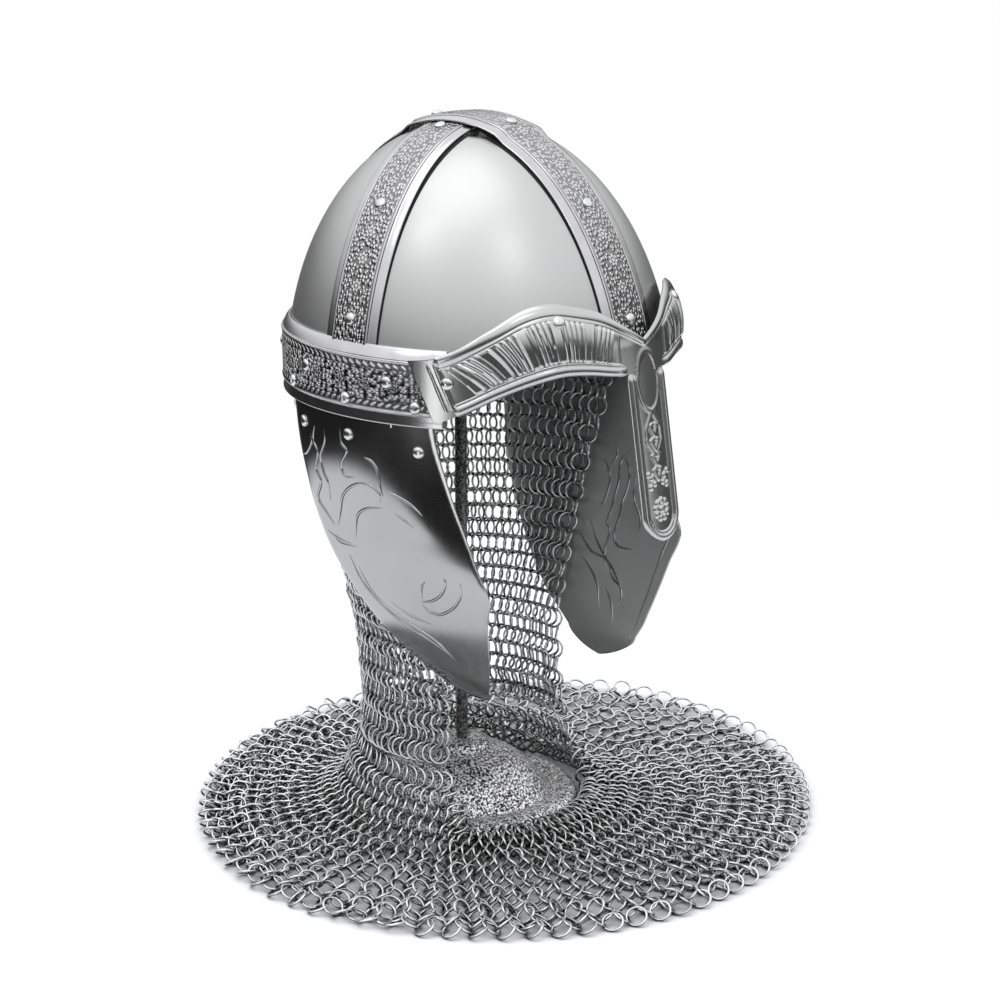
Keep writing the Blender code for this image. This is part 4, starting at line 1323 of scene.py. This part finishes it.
def build_stand(mat, rod_mat):
    lip, high, boss, r = BASE_LIP, BASE_HEIGHT, BOSS_RADIUS, BASE_RADIUS
    swell = high - BOSS_STEP - lip
    outline = ((boss, high - BOSS_STEP), (0.31 * r, lip + 0.955 * swell),
               (0.38 * r, lip + 0.885 * swell), (0.45 * r, lip + 0.79 * swell),
               (0.53 * r, lip + 0.645 * swell), (0.60 * r, lip + 0.485 * swell),
               (0.66 * r, lip + 0.30 * swell), (0.71 * r, lip + 0.125 * swell),
               (0.755 * r, lip), (0.80 * r, 1.02 * lip), (0.85 * r, 1.1 * lip),
               (0.90 * r, 1.1 * lip), (0.94 * r, 1.04 * lip), (0.97 * r, 0.9 * lip),
               (0.99 * r, 0.65 * lip), (r, 0.35 * lip), (r, 0), (0.0001, 0))
    profile = ((0.0001, high), (boss - 0.004, high), (boss - 0.002, high - 0.0004),
               (boss - 0.0005, high - 0.0016), (boss, high - 0.003)) + outline
    base = turned_mesh("base", profile, 96)
    piece("painted_base", base, (mat,), ("stand_base",))
    low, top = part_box("stand_rod")[0][2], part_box("stand_rod")[1][2]
    rod = turned_mesh("rod", ((0.0001, top), (ROD_RADIUS, top), (ROD_RADIUS, low),
                              (0.0001, low)), 32)
    piece("painted_rod", rod, (rod_mat,), ("stand_rod",))
    low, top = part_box("stand_head")[0][2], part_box("stand_head")[1][2]
    knob = [(max(share * HEAD_RADIUS, 0.0001), top - drop * (top - low)) for share, drop in KNOB]
    head = turned_mesh("head", knob, 48)
    piece("painted_head", head, (rod_mat,), ("stand_head",))


# Studio

def camera_stance():
    """The camera's right and backward directions and its place."""
    turn, rise = CAMERA_AZIMUTH, CAMERA_ELEVATION
    right = Vector((cos(turn), sin(turn), 0))
    back = Vector((sin(turn) * cos(rise), -cos(turn) * cos(rise), sin(rise)))
    aim = right * AIM_RIGHT + Vector((0, 0, AIM_HEIGHT))
    return right, back, aim + back * CAMERA_DISTANCE


def build_camera():
    _, back, place = camera_stance()
    data = bpy.data.cameras.new("camera")
    data.sensor_width = CAMERA_SENSOR
    data.lens = CAMERA_LENS
    camera = add_object("camera", data)
    camera.location = place
    camera.rotation_euler = back.to_track_quat("Z", "Y").to_euler()
    bpy.context.scene.camera = camera


def softbox(name, place, aim, size, power):
    data = bpy.data.lights.new(name, "AREA")
    data.shape = "RECTANGLE"
    data.size, data.size_y = size
    data.energy = power
    light = add_object(name, data)
    light.visible_camera = False
    light.location = place
    toward = Vector(place) - Vector(aim)
    light.rotation_euler = toward.to_track_quat("Z", "Y").to_euler()


def build_floor():
    """White sheet that fades out, darkened with painted shade where things stand close over it."""
    mesh = bpy.data.meshes.new("floor")
    reach = FLOOR_REACH
    corners = ((-reach, -reach, 0), (reach, -reach, 0), (reach, reach, 0), (-reach, reach, 0))
    mesh.from_pydata(corners, [], [(0, 1, 2, 3)])
    mat, tree, shader = new_material("floor_white")
    place = metres(tree)
    paper = noise(tree, place, 3.0).ramp(((0.2, 0.93), (0.8, 0.95)))
    # painted shade: the floor darkens where the mail and the stand close it in
    painted_contact_shade = openness(tree, 0.016, 6).ramp(((0.35, 0.22), (0.90, 1.0)))
    blend = node(tree, "ShaderNodeMix", {0: 1.0, 6: paper, 7: painted_contact_shade}, data_type="RGBA",
                 blend_type="MULTIPLY")
    tree.links.new(blend.outputs[2], shader.inputs["Base Color"])
    shader.inputs["Roughness"].default_value = 0.7
    shader.inputs["Specular IOR Level"].default_value = 0.1
    shifted = node(tree, "ShaderNodeVectorMath", {0: place, 1: FLOOR_MIDDLE},
                   operation="SUBTRACT")
    far = node(tree, "ShaderNodeVectorMath", {0: shifted.outputs[0]}, operation="LENGTH")
    fade = Field(tree, far.outputs["Value"]).between(*FLOOR_FADE, 0.0, 1.0)
    clear = node(tree, "ShaderNodeBsdfTransparent")
    blend = node(tree, "ShaderNodeMixShader", {0: fade, 1: shader.outputs[0],
                                               2: clear.outputs[0]})
    tree.links.new(blend.outputs[0], tree.nodes["Material Output"].inputs["Surface"])
    mesh.materials.append(mat)
    floor = add_object("floor", mesh)


def build_room():
    """Bright ceiling over a dark room, darkest at one end, with white behind the object."""
    world = bpy.data.worlds.new("studio")
    world.use_nodes = True
    tree = world.node_tree
    back = tree.nodes["Background"]
    coords = node(tree, "ShaderNodeTexCoord").outputs["Generated"]
    height = node(tree, "ShaderNodeSeparateXYZ", {0: coords}).outputs[2]
    level = Field(tree, height) * 0.5 + 0.5
    bright = level.ramp(((0.0, 0.04), (0.48, 0.06), (0.53, 0.16), (0.60, 0.55), (0.70, 0.95),
                         (1.0, 1.0)))
    dark = level.ramp(((0.0, 0.02), (0.50, 0.02), (0.55, 0.20), (0.60, 0.60), (0.70, 0.95),
                       (1.0, 1.0)))
    toward = node(tree, "ShaderNodeVectorMath", {0: coords, 1: DARK_SIDE},
                  operation="DOT_PRODUCT").outputs["Value"]
    sector = Field(tree, toward).between(0.42, 0.60, 0.0, 1.0)
    tree.links.new(mixed(tree, sector, bright, dark), back.inputs["Color"])
    back.inputs["Strength"].default_value = 1.25
    seen = node(tree, "ShaderNodeBackground", {"Color": (1, 1, 1, 1), "Strength": 1.0})
    ray = node(tree, "ShaderNodeLightPath")
    blend = node(tree, "ShaderNodeMixShader", {0: ray.outputs["Is Camera Ray"],
                                               1: back.outputs[0], 2: seen.outputs[0]})
    tree.links.new(blend.outputs[0], tree.nodes["World Output"].inputs["Surface"])
    bpy.context.scene.world = world
    bpy.context.scene.view_settings.view_transform = "Standard"


def build_lights():
    """Soft light from above, two small lamps for sparkle and two faint cards."""
    softbox("overhead", (-0.5, 0.2, 2.2), (0, 0, 0.2), (1.6, 1.6), 7)
    softbox("sparkle_front", (-0.9, -1.3, 2.0), (0, 0, 0.2), (0.35, 0.35), 1.6)
    softbox("sparkle_left", (-1.6, 0.5, 1.9), (0, 0, 0.2), (0.35, 0.35), 1.6)
    softbox("temple_card", (-0.69, -0.13, 0.12), (-0.09, -0.06, 0.26), (0.12, 0.24), 0.20)
    softbox("nasal_card", (0.35, -0.80, 0.16), (0, -0.12, 0.26), (0.30, 0.25), 0.20)


def build_object():
    panel_steel = steel("panel_satin_steel", 0.52, 0.36, cloud=0.02)
    gap_shade_mat = painted_gap_shade("gap_shadow")
    strip_mat = embossed_steel("strip_embossed_steel", STRIP_RAIL * STRIP_WIDTH / 2, 0.0021,
                               False, 0.0012)
    band_mat = embossed_steel("band_embossed_steel", BAND_HEIGHT / 2 - BAND_FLANGE - 0.0012,
                              0.0024, True, 0.0022)
    brow_mat = steel("brow_polished_steel", 0.50, 0.20)
    cheek_mat = steel("cheek_polished_steel", 0.38, 0.13, cloud=0.04)
    inner_mat = steel("cheek_inner_satin_steel", 0.66, 0.42, cloud=0.06)
    mail_mat = wire_steel("mail_wire_steel")
    rivet_mat = steel("rivet_polished_steel", 0.66, 0.22)
    paint = hammertone("stand_hammertone_paint", 0.95)
    rod_paint = hammertone("rod_hammertone_paint", 0.16)
    for side, label in ((-1, "right"), (1, "left")):
        detailed_panel(f"panel_front_{label}", side, -1, PANEL_TUCK_FRONT, panel_steel, gap_shade_mat)
        detailed_panel(f"panel_back_{label}", side, 1, PANEL_TUCK_BACK, panel_steel, gap_shade_mat)
        detailed_cheek(f"cheek_plate_{label}", side, cheek_mat, inner_mat)
    detailed_strip("strip_side_to_side", False, strip_mat)
    detailed_strip("strip_front_to_back", True, strip_mat)
    detailed_band(band_mat)
    detailed_brow(brow_mat)
    build_mail(mail_mat)
    build_rivets(rivet_mat)
    build_stand(paint, rod_paint)


build_camera()
build_floor()
build_room()
build_lights()
build_object()
